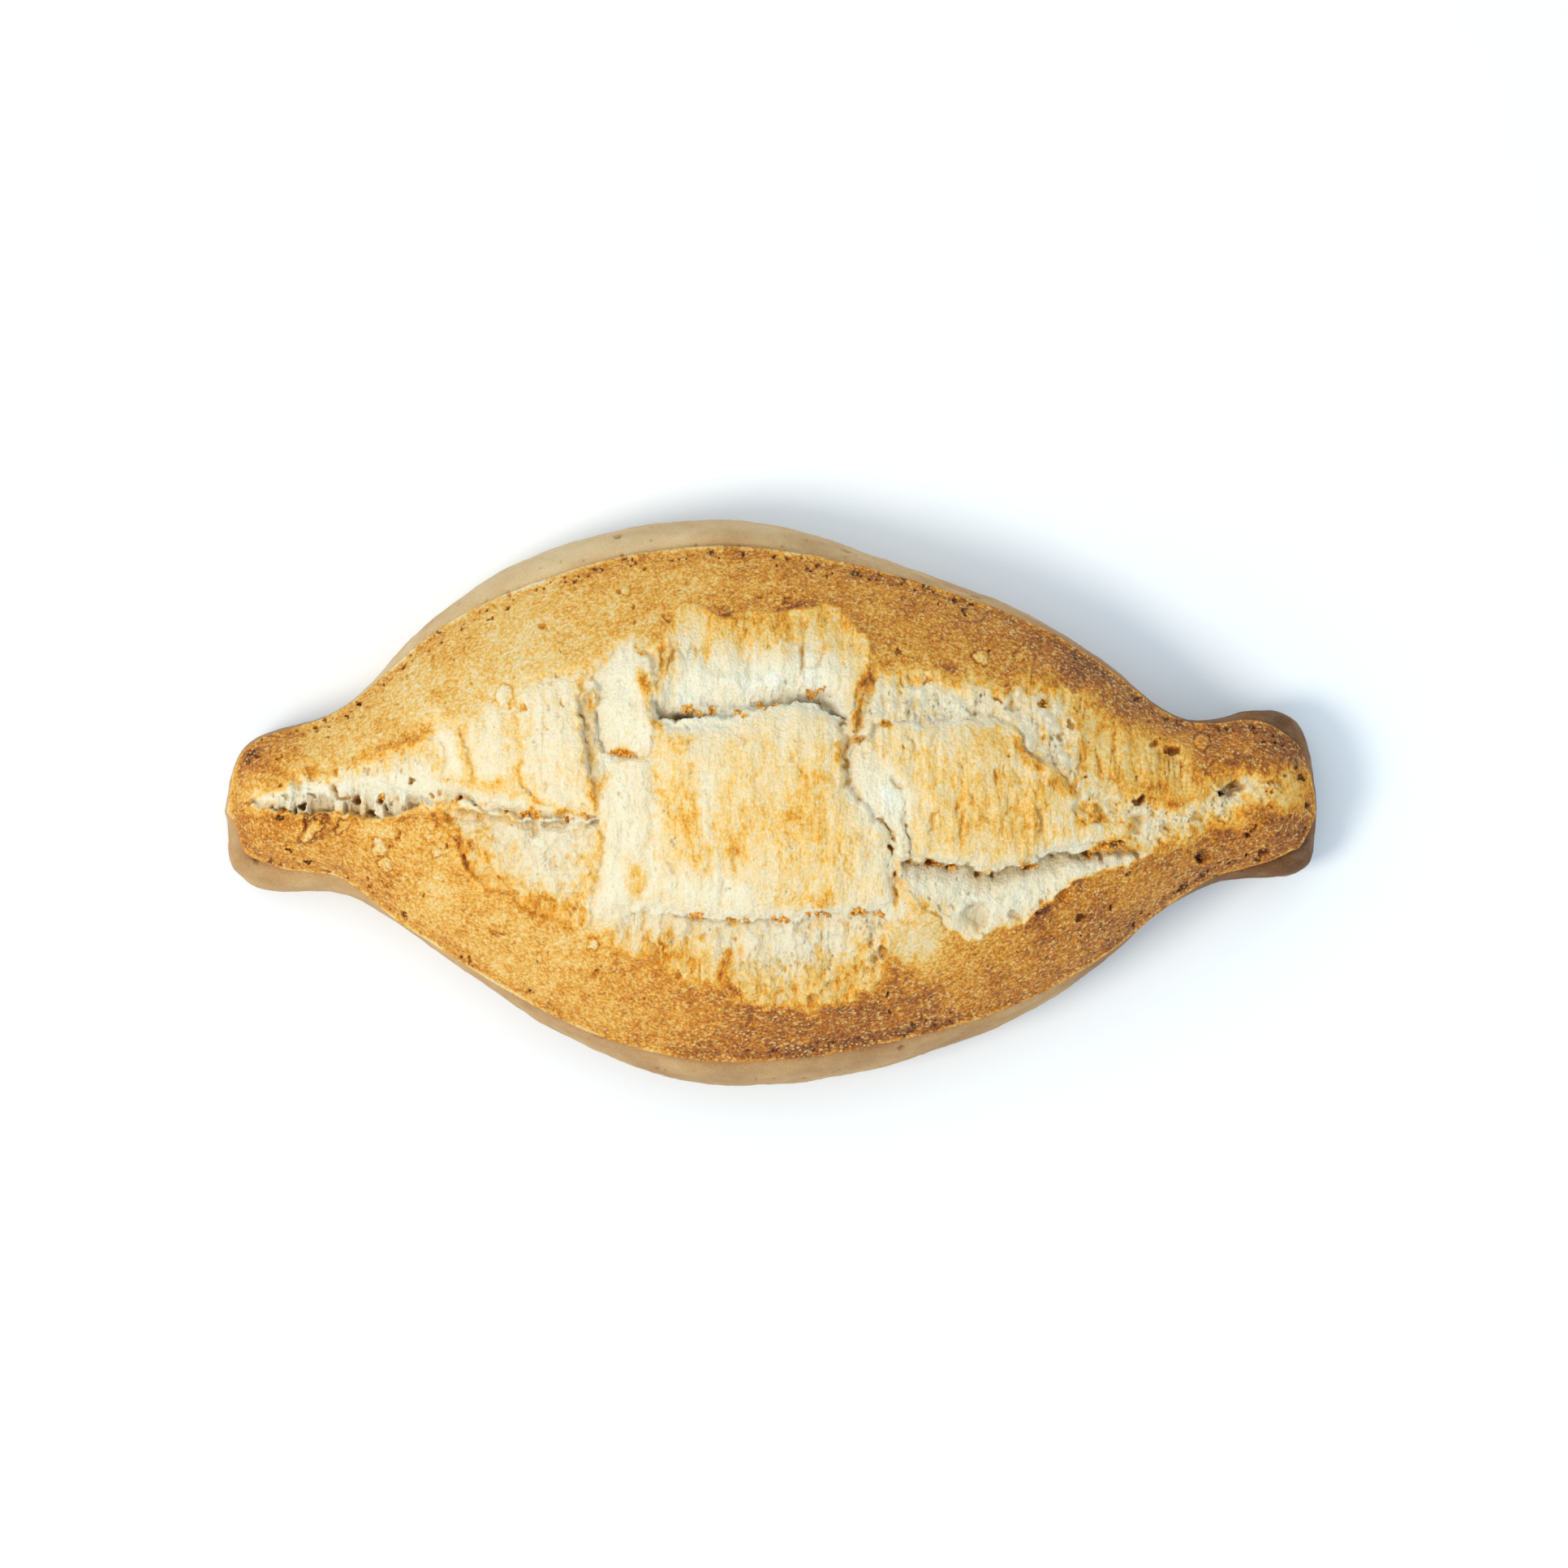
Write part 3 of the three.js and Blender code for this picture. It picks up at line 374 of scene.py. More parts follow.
# A pit is a hole or an open blister: (x, y, half length, half width, turn in degrees, depth, bake).
PITS = [
    # caves of the left cleft
    (-119.4, -0.7, 1.4, 1.3, 0, 5, 0.25), (-116.6, 1.6, 0.9, 1.6, 30, 2, 0.12),
    (-105.2, 0.4, 1.5, 1.2, 40, 5, 0.55), (-101.6, -2.2, 1.3, 0.8, -20, 4, 0.35),
    (-99, 1.6, 0.9, 1.3, 0, 4, 0.7), (-97.4, -0.4, 1, 1.4, 20, 2.5, 0.2),
    (-95.2, 1, 0.6, 0.9, 0, 2, 0.25), (-91, 6, 0.9, 0.7, -30, 2.4, 0.3),
    (-123, 1.8, 0.9, 1.3, 30, 1.8, 0.1), (-132, 0.3, 0.7, 0.5, 0, 1.6, 0.25),
    (-86, 2.8, 0.7, 0.6, 0, 1.6, 0.3), (-83, 3.2, 0.7, 0.6, 0, 1.4, 0.2), (-80, 0.8, 0.8, 0.7, 0, 2, 0.6),
    (-75.2, -0.6, 0.6, 0.5, 0, 1.6, 0.3), (-67.2, -2.2, 0.8, 0.4, -20, 1.6, 0.5),
    (-51.8, -4.1, 0.8, 0.5, 0, 2, 0.6), (-110, 7.4, 1, 1.2, 0, 1, 0.2), (-81.4, -4, 1.2, 2, 30, 2, 0.1),
    (-76, -10.6, 0.5, 1.6, 0, 1.5, 0.15), (-82.4, -11, 0.6, 0.9, 0, 1.2, 0.3),
    (-62.6, 24.2, 0.7, 0.9, 30, 1, 0.22), (-52.4, 26, 0.5, 1.4, 20, 1, 0.15),
    (-57.2, 19, 0.3, 0.9, 15, 0.8, 0.2), (-68.4, -18.4, 0.4, 1.2, 15, 1, 0.2),
    (-77.6, -14.4, 0.7, 2.2, 15, 1.4, 0.2), (-65, -22.8, 1.2, 0.6, -25, 1, 0.1),
    (-59, -17.4, 0.3, 0.3, 0, 1, 0.45), (-58.6, -21.8, 1.4, 0.6, -30, 0.8, 0.1),
    (-59.8, -7, 1.2, 1.4, 30, 1.2, 0.1), (-52.4, -21, 0.8, 2, 0, 0.8, 0.06),
    # holes of the left knob and its crust
    (-125.6, 5.4, 0.7, 0.5, 0, 1.2, 0.35), (-124.6, -3.4, 1.4, 0.9, 15, 1.8, 0.45),
    (-123, -12, 0.6, 0.5, 0, 1.4, 0.55), (-118.9, -13.8, 0.7, 0.6, 0, 1.5, 0.6),
    (-117.8, -14.5, 0.6, 0.5, 0, 1.4, 0.6), (-125, 11.7, 0.8, 0.4, 15, 0.8, 0.25),
    (-130.6, 12, 0.8, 0.5, 20, 0.8, 0.25), (-127.2, 17, 1.2, 0.6, 10, 1.2, 0.4),
    (-129.2, 16.2, 0.5, 0.5, 0, 0.9, 0.4), (-125.8, 18.4, 0.5, 0.3, 0, 0.8, 0.4),
    (-121, 19.2, 0.5, 0.4, 0, 0.8, 0.35), (-119.4, 17.8, 0.4, 0.4, 0, 0.8, 0.35),
    (-113.6, 21.3, 0.6, 0.3, 10, 0.8, 0.4), (-113.6, 16.2, 0.4, 0.4, 0, 0.7, 0.35),
    (-104.8, 26, 0.7, 0.6, 0, 1.6, 0.65), (-108.2, 21.8, 1.4, 0.8, 10, 0.8, 0.02),
    (-127.6, -14.8, 1.4, 0.6, -10, 1.2, 0.35), (-125.2, -16, 0.6, 0.4, 0, 0.9, 0.35),
    (-121.6, -16.2, 0.5, 0.3, 0, 0.9, 0.45), (-112.8, -17.9, 0.4, 0.3, 0, 0.9, 0.5),
    (-108.7, -19.3, 0.5, 0.4, 0, 1, 0.55), (-102.2, -22.2, 1, 0.5, -30, 1, 0.25),
    (-97.6, -27, 0.4, 0.4, 0, 1, 0.5), (-93.4, -28.5, 1.7, 1.1, -35, 1.8, 0.4),
    (-88.2, -23.1, 0.4, 0.4, 0, 0.8, 0.35), (-79.4, -39.3, 0.7, 0.5, -20, 1.3, 0.65),
    (-76.2, -41.6, 0.5, 0.3, -30, 1, 0.4),
    # blisters of the back crust
    (-58, 44.6, 1.4, 1.2, 0, 1.2, 0.22), (-39, 53.6, 0.8, 0.6, 0, 0.9, 0.2),
    (-34.7, 50.5, 0.7, 0.5, 10, 0.9, 0.38), (-34.6, 46, 0.5, 0.6, 0, 0.9, 0.38),
    (-23.4, 53, 0.4, 0.4, 0, 0.7, 0.35), (-11.6, 52.6, 0.5, 0.6, 20, 0.8, 0.3),
    (-52.9, 38.7, 0.3, 0.3, 0, 0.7, 0.35), (4, 51.8, 1.4, 0.9, 30, 1.1, 0.22),
    (-2.8, 52, 0.8, 0.5, 0, 0.9, 0.3), (14, 57.5, 0.5, 0.5, 0, 0.9, 0.4),
    (22, 59, 1.2, 0.5, -10, 1.4, 0.6), (32.6, 39, 0.7, 0.7, 0, 1, 0.35),
    (33.2, 52.4, 0.5, 0.5, 0, 0.9, 0.45), (33, 57.2, 1.2, 0.5, -15, 1.2, 0.45),
    (39, 55.2, 1.4, 0.5, -20, 1.2, 0.45), (28, 58.2, 0.8, 0.4, -10, 1, 0.4),
    (-32, 60, 0.8, 0.4, 15, 1, 0.4), (-80, 37, 0.5, 0.4, 0, 0.8, 0.28),
    (-104, 22, 0.6, 0.5, 0, 0.8, 0.28), (-70.8, 47.6, 0.9, 0.4, 30, 1.2, 0.5),
    (-66, 52, 0.6, 0.4, 30, 1, 0.4), (60, 40, 0.6, 0.5, 0, 0.8, 0.25), (72, 34.5, 0.5, 0.5, 0, 0.8, 0.3),
    # pits of the front crust
    (-44.2, -42.8, 0.9, 1, 0, 1.2, 0.22), (-58.8, -40.2, 0.5, 0.4, 0, 0.9, 0.32),
    (-65.6, -40, 0.4, 0.3, 0, 0.7, 0.28), (-5.8, -53.3, 0.5, 0.5, 20, 0.9, 0.4),
    (31.2, -53.2, 0.5, 0.5, 0, 1, 0.55), (-33.8, -56, 0.4, 0.3, 0, 0.7, 0.35),
    (-53, -34.6, 1.4, 1.2, 0, -0.3, -0.12), (-22.8, -43.6, 0.7, 1.2, -30, 1, 0.25),
    (-9.4, -35, 0.3, 0.5, 0, 0.8, 0.4), (-27.6, -36.1, 0.5, 0.5, 0, 0.7, 0.4),
    (11, -49.6, 1.6, 1.4, 0, 1.8, 0.16), (29.4, -49, 0.8, 0.8, 0, 1, 0.4),
    (28.2, -37.2, 1.6, 1.6, -20, 2.6, 0.1), (25.2, -34.4, 1.2, 2.2, 0, 1.6, 0.08),
    (26, -39.2, 1.4, 1.4, 0, 1.4, 0.06),
    # caves of the right slash
    (35, -14.7, 1.2, 0.8, 0, 2.6, 0.3), (41, -15, 2.2, 1.1, -5, 3.4, 0.62),
    (46.2, -15.6, 1.2, 0.7, -15, 2.4, 0.5), (53.6, -17.4, 1, 1.2, 0, 2.6, 0.35),
    (56.4, -17.8, 0.9, 1.2, 0, 2.2, 0.2), (49.6, -15.2, 1, 0.7, 0, 2, 0.25),
    (65.4, -15.6, 2, 0.8, 12, 2, 0.42), (72, -12.8, 1.4, 0.7, 10, 1.8, 0.15),
    (80.4, -13, 1.1, 0.8, 0, 2.2, 0.42), (84.4, -13.6, 1, 1, 0, 1.8, 0.12),
    (88, -10, 1.1, 0.7, 0, 1.6, 0.5), (92.2, -12.9, 1.3, 0.9, -10, 2, 0.14),
    (51, -28.4, 4.4, 3.4, 15, 2.2, 0.02), (62, -28.4, 2.6, 1, -10, 1.8, 0.1),
    (68, -27.5, 1.2, 0.8, 30, 1.4, 0.3), (74.5, -23, 2.6, 1.5, 35, 1.4, 0.05),
    (78.6, -28.6, 1.2, 0.9, 30, 1.4, 0.28), (30, -12.4, 0.8, 1.1, 0, 3, 0.62),
    (31, -9, 0.6, 0.6, 0, 1.6, 0.45), (34.4, -6, 0.6, 0.6, 0, 1.2, 0.3),
    (31.6, -17.6, 0.8, 0.8, -30, 1.8, 0.2), (78.4, -34, 0.4, 0.4, 0, 0.9, 0.4),
    # hollows behind the right plate
    (44.8, 26.8, 6, 4.6, 0, 1.1, -0.05), (38.8, 31.4, 0.5, 1.1, -25, 1.2, 0.3),
    (51.4, 22.2, 1.4, 0.7, -10, 1.2, 0.1), (45.2, 26, 0.6, 0.3, -10, 0.4, 0.4),
    (45.2, 22.6, 0.3, 0.3, 0, 0.6, 0.4), (57.6, 26.8, 1.4, 1, 0, 1.6, 0.16),
    (61.6, 25.2, 2, 1.2, -30, 1.6, 0.1), (68.4, 25, 1.4, 0.9, -25, 1.4, 0.4),
    (76.4, 19.6, 0.8, 1.6, 10, 1.8, 0.14), (73.8, 16.4, 1, 1.6, 20, 1.8, 0.14),
    (60.2, 11.8, 0.5, 0.5, 0, 0.8, 0.2), (21.8, 16, 1.6, 1.1, 30, 2, 0.2),
    (18.2, 19.6, 0.9, 1, 0, 1.6, 0.2),
    # the right end
    (93.1, 0.9, 1.3, 1.1, 0, 3, 0.5), (92.8, -5.2, 2, 3, 15, 1.8, 0.06),
    (101.8, 13.2, 2.2, 1.3, -15, 2.4, 0.3), (97, 15.2, 0.8, 1.6, 10, 1.6, 0.22),
    (100.2, 13.1, 0.8, 0.7, 0, 1.6, 0.3), (115, 2.7, 1.1, 0.8, 20, 4, 0.95),
    (117.8, 3.6, 4.2, 1.9, 15, 3.6, -0.05), (116.6, 6, 3.6, 2.4, 15, 1.6, 0.24),
    (108.4, -4.2, 2, 1.6, 0, 1.6, 0.1), (101, -6.6, 2, 1.4, 0, 1.2, 0.06),
    (109.4, -13.8, 2, 2.1, 0, 2, 0.22), (108.8, -14.6, 1.2, 1, -20, 1.2, 0.4),
    (123.4, 20, 1.1, 0.7, 20, 1.6, 0.45), (128.6, 17.6, 0.6, 0.5, 0, 1.2, 0.45),
    (131.6, 17.6, 1, 0.4, -10, 1.2, 0.45), (113.2, 18.9, 0.7, 0.7, 0, 0.8, 0.2),
    (107.6, 19.7, 0.5, 0.4, 0, 1, 0.5), (120.6, -13.5, 0.7, 0.5, 0, 1.4, 0.55),
    (126.4, -13.2, 1.7, 1, -10, 1.8, 0.22), (124.6, -14.8, 1, 0.4, 0, 1.6, 0.6),
    (133.6, -11.4, 0.8, 0.7, 20, 1.5, 0.55), (121.4, -7.6, 0.8, 1, 0, 1.4, 0.45),
    (122.8, -6.2, 0.9, 0.6, 20, 1, 0.2), (86.6, -26.2, 0.5, 0.5, 0, 1.2, 0.6),
    (80, 6.8, 0.6, 0.7, -30, 1.2, 0.45), (80.4, 1.4, 0.4, 0.9, 10, 1, 0.35),
    (127, 3, 1.2, 1.2, 20, 0.9, 0.06), (131.6, -3.4, 1.3, 0.7, 30, 0.9, 0.08),
    (137.2, 8.4, 0.9, 1.3, 0, 0.7, 0.04), (91.6, -17.2, 0.8, 0.6, 0, 1, 0.3),
    # the pit at the left of the back crevice, and pockets in the front one
    (-23, 22.9, 2.6, 1.4, 15, 3, 0.14), (-20.4, 23.4, 1, 1, 0, 1.4, 0.3),
    (-18.2, -28.6, 1.8, 0.8, 0, 1.4, 0.3), (22.6, -27.4, 2, 0.8, -8, 1.6, 0.36),
    (-8.6, -29.4, 1.6, 0.7, -10, 1.2, 0.24), (-31.6, -27.6, 1.8, 0.9, -10, 1.2, 0.06),
]

# A bubble is a closed, raised blister: (x, y, half length, half width, turn in degrees, height, bake).
BUBBLES = [
    (-117, -6.5, 3.9, 1.9, 35, 1.1, -0.08), (-108.6, -5.8, 3.4, 1.3, 35, 0.8, -0.08),
    (-99.6, -10.8, 1.8, 2.4, 20, 0.6, -0.06), (-97.8, -15, 2.1, 1.7, 0, 0.4, -0.08),
    (-97.6, -19.2, 1.7, 1.4, 0, -0.3, 0), (-67.2, 27.4, 2.3, 3, 0, 0.6, -0.04),
    (-85.5, -12.5, 1.2, 2, 10, 0.6, -0.06), (109.8, 15, 1.9, 2.4, -10, 0.6, -0.06),
    (54, 37, 2.4, 2, 0, 0.4, -0.12), (-44.8, -35.4, 1.8, 2, 0, 0.6, -0.1),
    (-37, 53.5, 1.4, 1.2, 0, 0.5, -0.06), (-109, 21.8, 1.5, 0.9, 10, 0.4, 0),
    (63, 37.5, 1.6, 1.3, 0, 0.4, -0.06), (104, 21.5, 1.3, 1, 0, 0.4, -0.05),
]

# Toasted spots (or, with a minus sign, pale ones): (x, y, half length, half width, turn, bake).
TOAST = [
    (-32.2, 30.6, 3.2, 2, 110, 0.42), (-31.2, 26, 1.2, 4, 10, 0.22), (-29.4, 20.8, 1.6, 1, 0, 0.34),
    (-29, 10, 0.9, 9, 0, 0.22), (-28.2, 2.2, 0.8, 1.6, 0, 0.28), (-42, 6, 0.8, 3, -15, 0.22),
    (-43.4, -8, 0.7, 9, 4, 0.1), (-45.2, -22, 0.7, 7, 10, 0.12), (-34.2, -18.4, 2, 4.6, 12, 0.3),
    (-34, -22, 1.4, 2, 0, 0.16), (-84.6, 8, 1, 4, 0, 0.1), (-70, 5.4, 5, 1.4, 0, 0.22),
    (-78.2, 15, 0.9, 5, 12, 0.08), (-97, 14.4, 3, 1.6, 20, 0.24), (-91, 15.8, 2.4, 1.2, 10, 0.28),
    (-103, 11.4, 2.2, 1.2, 10, 0.24), (-87, 18.4, 3.2, 1.4, 0, 0.22), (-84, -4, 1.6, 2.4, 0, 0.26),
    (-78, -13, 0.9, 4.6, 10, 0.1), (-116.5, 8.6, 2.6, 1, -10, 0.22), (-124.5, -3.4, 3.2, 2, 0, 0.14),
    (-116, -4, 2.2, 2, 0, 0.12), (-60, -2.6, 2.2, 1.6, -30, 0.34), (-49, -2.9, 2.4, 0.9, 0, 0.3),
    (-38.4, 13.2, 1.6, 0.8, 0, 0.6), (-36, 12.6, 0.9, 0.5, 0, 0.55), (-54, -2.6, 3.6, 1, 5, 0.18),
    (-44.6, 2, 1.1, 3.6, 20, 0.3), (-46.8, 12, 0.9, 7, 0, 0.05),
    # crumb in front of the left cleft
    (-75, -11, 5, 7, 0, 0.07), (-62, -25, 13, 2.6, -22, 0.12), (-79, -8, 1.6, 3, 20, 0.24),
    (-68, -18.6, 3, 1, -30, 0.16), (-72, -14, 1, 2, 20, 0.16), (-56, -24, 3, 1, -15, 0.14),
    (-76.4, -17, 1.2, 2.4, 10, 0.1), (-57, -10, 6, 6, 0, -0.06),
    # back slope
    (-4, 45.5, 9, 3, 0, 0.14), (-12, 48.2, 4.5, 1.4, 0, 0.2), (5, 49.2, 4.5, 1.3, 0, 0.2),
    (-6, 39, 10, 4.5, 0, 0.08), (4, 40, 5, 5, 0, 0.08), (15, 41, 4, 5, 10, 0.06),
    (-15.5, 38, 1, 4, 0, 0.06), (-22, 40, 3, 5, 0, -0.12), (13, 49.8, 3, 1.2, 0, 0.16),
    (-1, 31, 4, 1.5, 10, -0.12),
    # middle plate
    (-20, -6, 2.6, 10, 0, 0.12), (-11.6, -6, 1.8, 9, 5, 0.1), (12, 5.6, 4.5, 2.2, 0, 0.13),
    (6, -4, 7, 2.8, -10, 0.09), (-3, -0.8, 2.6, 1.8, 0, 0.07), (-8.6, -11, 1.6, 2.6, 0, 0.18),
    (-6, -6.5, 4, 4, 0, 0.05), (9, -14, 9, 6, 0, 0.06), (13, -24, 6.5, 1.8, 6, 0.2),
    (3, -24.6, 3, 1.4, 0, 0.12), (9, -2, 10, 9, 0, 0.08), (-24, 0, 4, 10, 0, 0.12),
    (-24, 15, 4, 4, 0, 0.12), (-20, -21, 8, 4, 0, -0.12), (-16, 3, 2.6, 10, 4, -0.15),
    (-8, -22, 6, 5, 0, -0.12), (6, 18, 7, 5, 0, -0.05), (25, -14, 4.5, 8, 0, -0.04),
    (17.4, 13, 1, 4, 0, 0.26), (22, -22, 5, 3, 0, -0.04),
    # front slope
    (-11.8, -42, 1.2, 4.6, 0, 0.34), (-24, -38, 8, 4, 0, 0.16), (-8, -48.6, 3, 1, -40, 0.26),
    (-26.4, -34, 1.6, 2.4, 0, 0.16), (16, -43, 9, 4, 0, 0.05), (14, -51, 6, 1.4, 0, 0.12),
    (-6, -36, 3, 4, 0, -0.06), (8, -34, 8, 3, 0, -0.08),
    # right plate and around it
    (65.5, 11.5, 4.8, 1.8, -42, 0.22), (74, 5, 3, 2.4, -20, 0.26), (76, 2.4, 1.4, 1, -30, 0.22),
    (56, 16, 5, 3, 0, 0.12), (63, -3, 6, 7, 0, 0.1), (50, 2, 7, 5, 0, 0.05), (51, -4, 4, 4, 0, 0.1),
    (30, 3, 5, 6, -30, -0.12), (36, 16, 5, 3, 0, -0.08), (78, -2.6, 2, 2.6, 10, 0.42),
    (81.6, -2.6, 1.4, 2, 0, 0.32), (83.8, -4.4, 1.2, 0.6, 0, 0.45), (88, -10.4, 1.6, 1, 0, 0.3),
    (84, -10.4, 1.4, 1.2, 30, 0.24), (70, -6, 3, 5, 0, -0.06), (42, -9.5, 6, 2, 0, 0.06),
    (46, 33.6, 2.6, 1.8, -30, 0.3), (29, 20, 1.3, 0.6, 0, 0.6), (68.8, 24.8, 1.2, 0.6, -30, 0.42),
    (59.6, 28.4, 0.7, 1.6, 0, 0.3), (64, -13.4, 3, 1.6, 15, 0.12), (78.6, 16, 0.8, 6, 0, 0.12),
    (62, 34, 4, 2.4, 0, 0.12), (70.5, 30, 3, 1.8, 0, 0.22), (70, -27, 3.4, 1.6, 40, 0.28),
    (64, -31, 4, 1.2, 10, 0.14), (78, -21, 2.6, 2, 0, 0.16), (38, -29, 3.6, 3.4, -40, -0.1),
    (36, -35, 6, 4, 0, -0.1), (31.2, -24.6, 0.8, 2, 0, 0.36), (107.6, -7.4, 2, 1.2, -30, 0.24),
    (99, 4, 4, 2.4, -30, 0.16), (103, 0.2, 3, 0.9, -15, 0.2), (117, -3, 2, 1.6, 0, 0.12),
    (128, -4, 6, 3, -20, 0.1), (88, 4.6, 4, 3, 0, 0.1), (124, 3, 5, 5, 0, 0.1), (133, 3, 6, 7, 0, 0.19),
    (112, -5, 4, 2.4, -20, 0.14), (117, 9.4, 4, 1.6, 0, 0.16),
]

# Toasted crumbs caught in the crevices lie in boxes: (x, y, half length, half width).
CRUMB_NESTS = [
    (-21.2, 23.8, 1.6, 1), (-17.6, 22.6, 1.4, 0.8), (-14.6, 23.4, 1.2, 0.8), (-7.4, 22.6, 1.6, 0.7),
    (-2.4, 24.4, 1.4, 0.7), (0.8, 24.6, 1.2, 0.4), (10.4, 27.2, 1.2, 1.4), (13, 28.8, 0.9, 0.6),
    (-38.8, 12.9, 1.5, 0.7), (-35.6, 12.3, 1.2, 0.5), (-18.6, -28.4, 1.8, 0.9), (-9.6, -29, 1.8, 0.6),
    (-6.4, -29.8, 1, 0.6), (2.6, -29.2, 2.4, 0.6), (11.8, -27.8, 2.8, 0.6), (22, -27.2, 2.6, 0.8),
    (27.2, -28, 1.2, 0.8), (41.2, -15.2, 2.2, 0.9), (45.8, -15.8, 1.4, 0.6), (65.4, -15.6, 2, 0.7),
    (80.2, -13, 1.2, 0.8), (84.2, -10.6, 1.2, 1), (88, -10.2, 1.3, 0.7), (-60.6, -3, 2.2, 1.2),
    (-51.4, -4, 1.6, 0.5), (-47, -2.8, 1.8, 0.5), (28.9, 20.1, 1, 0.5), (22.2, 15.6, 1.2, 0.8),
    (-80.2, 0.8, 1, 0.6), (-98.8, 1.6, 0.9, 0.9), (68.8, 25, 1.2, 0.6),
]

CRUMBS_PER_MM2 = 2.2
CRUMB_RADIUS = 0.7
CRUMB_DROP = 20.0  # how far over the loaf the crumbs start to fall

# How far the closed crust is baked, at places on it: (x, y, bake).
CRUST_BAKE = [
    (-132, 10, 0.72), (-126, 15, 0.63), (-115, 16, 0.41), (-104, 20, 0.44), (-134, -5, 0.66),
    (-136, -13, 0.6), (-124, -10, 0.62), (-110, -13, 0.58), (-100, -20, 0.56), (-96, -10, 0.46),
    (-86, -22, 0.46), (-84, 40, 0.47), (-88, 27, 0.41), (-72, 30, 0.39), (-80, -33, 0.49),
    (-64, 50, 0.41), (-60, 38, 0.35), (-66, -36, 0.48), (-50, 45, 0.44), (-45, 60, 0.55), (-38, 44, 0.45),
    (-25, 54, 0.51), (-20, 62, 0.54), (-5, 52, 0.57), (0, 61, 0.61), (16, 53, 0.64), (25, 45, 0.6),
    (28, 57, 0.68), (38, 37, 0.6), (40, 48, 0.66), (50, 36, 0.59), (55, 44, 0.69), (62, 36, 0.63),
    (70, 38, 0.75), (78, 26, 0.7), (80, 35, 0.84), (90, 26, 0.82), (85, 15, 0.58), (95, 15, 0.62),
    (100, 20, 0.78), (108, 12, 0.68), (118, 14, 0.76), (128, 14, 0.8), (135, 13, 0.84), (-52, -40, 0.46),
    (-50, -52, 0.55), (-38, -46, 0.58), (-30, -55, 0.6), (-15, -52, 0.66), (-10, -61, 0.74),
    (5, -57, 0.81), (20, -55, 0.81), (32, -46, 0.73), (37, -36, 0.39), (38, -53, 0.77), (48, -40, 0.58),
    (55, -45, 0.68), (60, -36, 0.6), (70, -35, 0.74), (76, -25, 0.66), (82, -30, 0.78), (88, -22, 0.68),
    (96, -18, 0.7), (104, -15, 0.74), (112, -13, 0.76), (122, -10, 0.74), (130, -9, 0.76),
    (137, -6, 0.72), (138, 3, 0.56), (132, 2, 0.4), (-139, 0, 0.48), (-132, 4, 0.46),
]
CRUST_BAKE_REACH = 9.0

# How brown the side skin is, at places round the loaf: (x, y, bake).
SKIN_BAKE = [
    (-60, 60, 0.26), (-30, 70, 0.32), (0, 72, 0.4), (30, 64, 0.42), (60, 52, 0.48), (90, 34, 0.62),
    (110, 23, 0.86), (130, 24, 0.9), (140, 8, 0.84), (138, -14, 0.9), (120, -20, 0.88), (95, -32, 0.64),
    (60, -56, 0.5), (20, -70, 0.5), (-10, -72, 0.5), (-45, -64, 0.5), (-90, -34, 0.44), (-120, -23, 0.44),
    (-138, -14, 0.5), (-140, 2, 0.44), (-130, 18, 0.62), (-100, 34, 0.3),
]
SKIN_BAKE_REACH = 22.0

# How far the outlines of the torn top wander: (size of the lumps, how far, seed for x, seed for y).
RAGGEDNESS = [(6.0, 0.9, 11, 23), (1.5, 0.65, 31, 43)]

# Heights and depths of the finer relief, in millimetres.
WRINKLE_HEIGHT = 0.30
SHRED_HEIGHT = 0.38
CREASE_DEPTH = 0.55
STRAND_HEIGHT = 2.6
TORN_SWELL = 0.5
LUMP_HEIGHT = 0.9
CRUST_SWELL = 0.30
CRUST_GRAIN = 0.10
BLISTER_HEIGHT = 0.30
BLISTER_DIMPLE = 0.25
SPECK_DEPTH = 0.5
RIM_PIT_DEPTH = 1.0
LIP_HEIGHT = 0.3
PIT_RIM_HEIGHT = 0.16
BUBBLE_OUTLINE_DEPTH = 0.4
SKIN_SWELL = 0.42
SKIN_GRAIN = 0.14
SKIN_STREAK = 0.16
SKIN_REST = 0.03  # brings the waves of the skin back to the body's own outline, on the whole
DIMPLE_DEPTH = 0.9
PINHOLE_DEPTH = 0.5
BASE_PITTING = 0.35
BASE_GRAIN = 0.15
TOP_LEAN = 0.35  # how far the top's relief leans from straight up towards the surface's own normal

# The table, the lights and the camera, in metres.
TABLE_HALF_WIDTH = 2.0
TABLE_GAP = 0.2  # in millimetres: keeps the table's surface from lying in the base's own plane
LIGHTS = [  # name, place, size, power, colour
    ("window", (-0.82, -0.37, 1.48), 0.6, 13.8, (1.0, 0.92, 0.80)),
    ("reflector", (-0.25, 0.75, 1.45), 1.3, 1.8, (1.0, 0.93, 0.84)),
]
SKY_COLOUR = (0.745, 0.905, 1.04, 1.0)
SKY_STRENGTH = 0.93
CAMERA_DISTANCE = 3.0
VIEW_WIDTH = 0.4013  # of the picture, at FOCUS_HEIGHT above the table
VIEW_MIDDLE = (0.0033, 0.0049)
FOCUS_HEIGHT = 0.018


# ---------------------------------------------------------------------------------------------------
# Numbers over many points at once
# ---------------------------------------------------------------------------------------------------
def smooth(low, high, value):
    """A soft step: 0 below low, 1 above high."""
    t = np.clip((value - low) / (high - low), 0, 1)
    return t * t * (3 - 2 * t)


def mix(a, b, share):
    return a + (b - a) * share


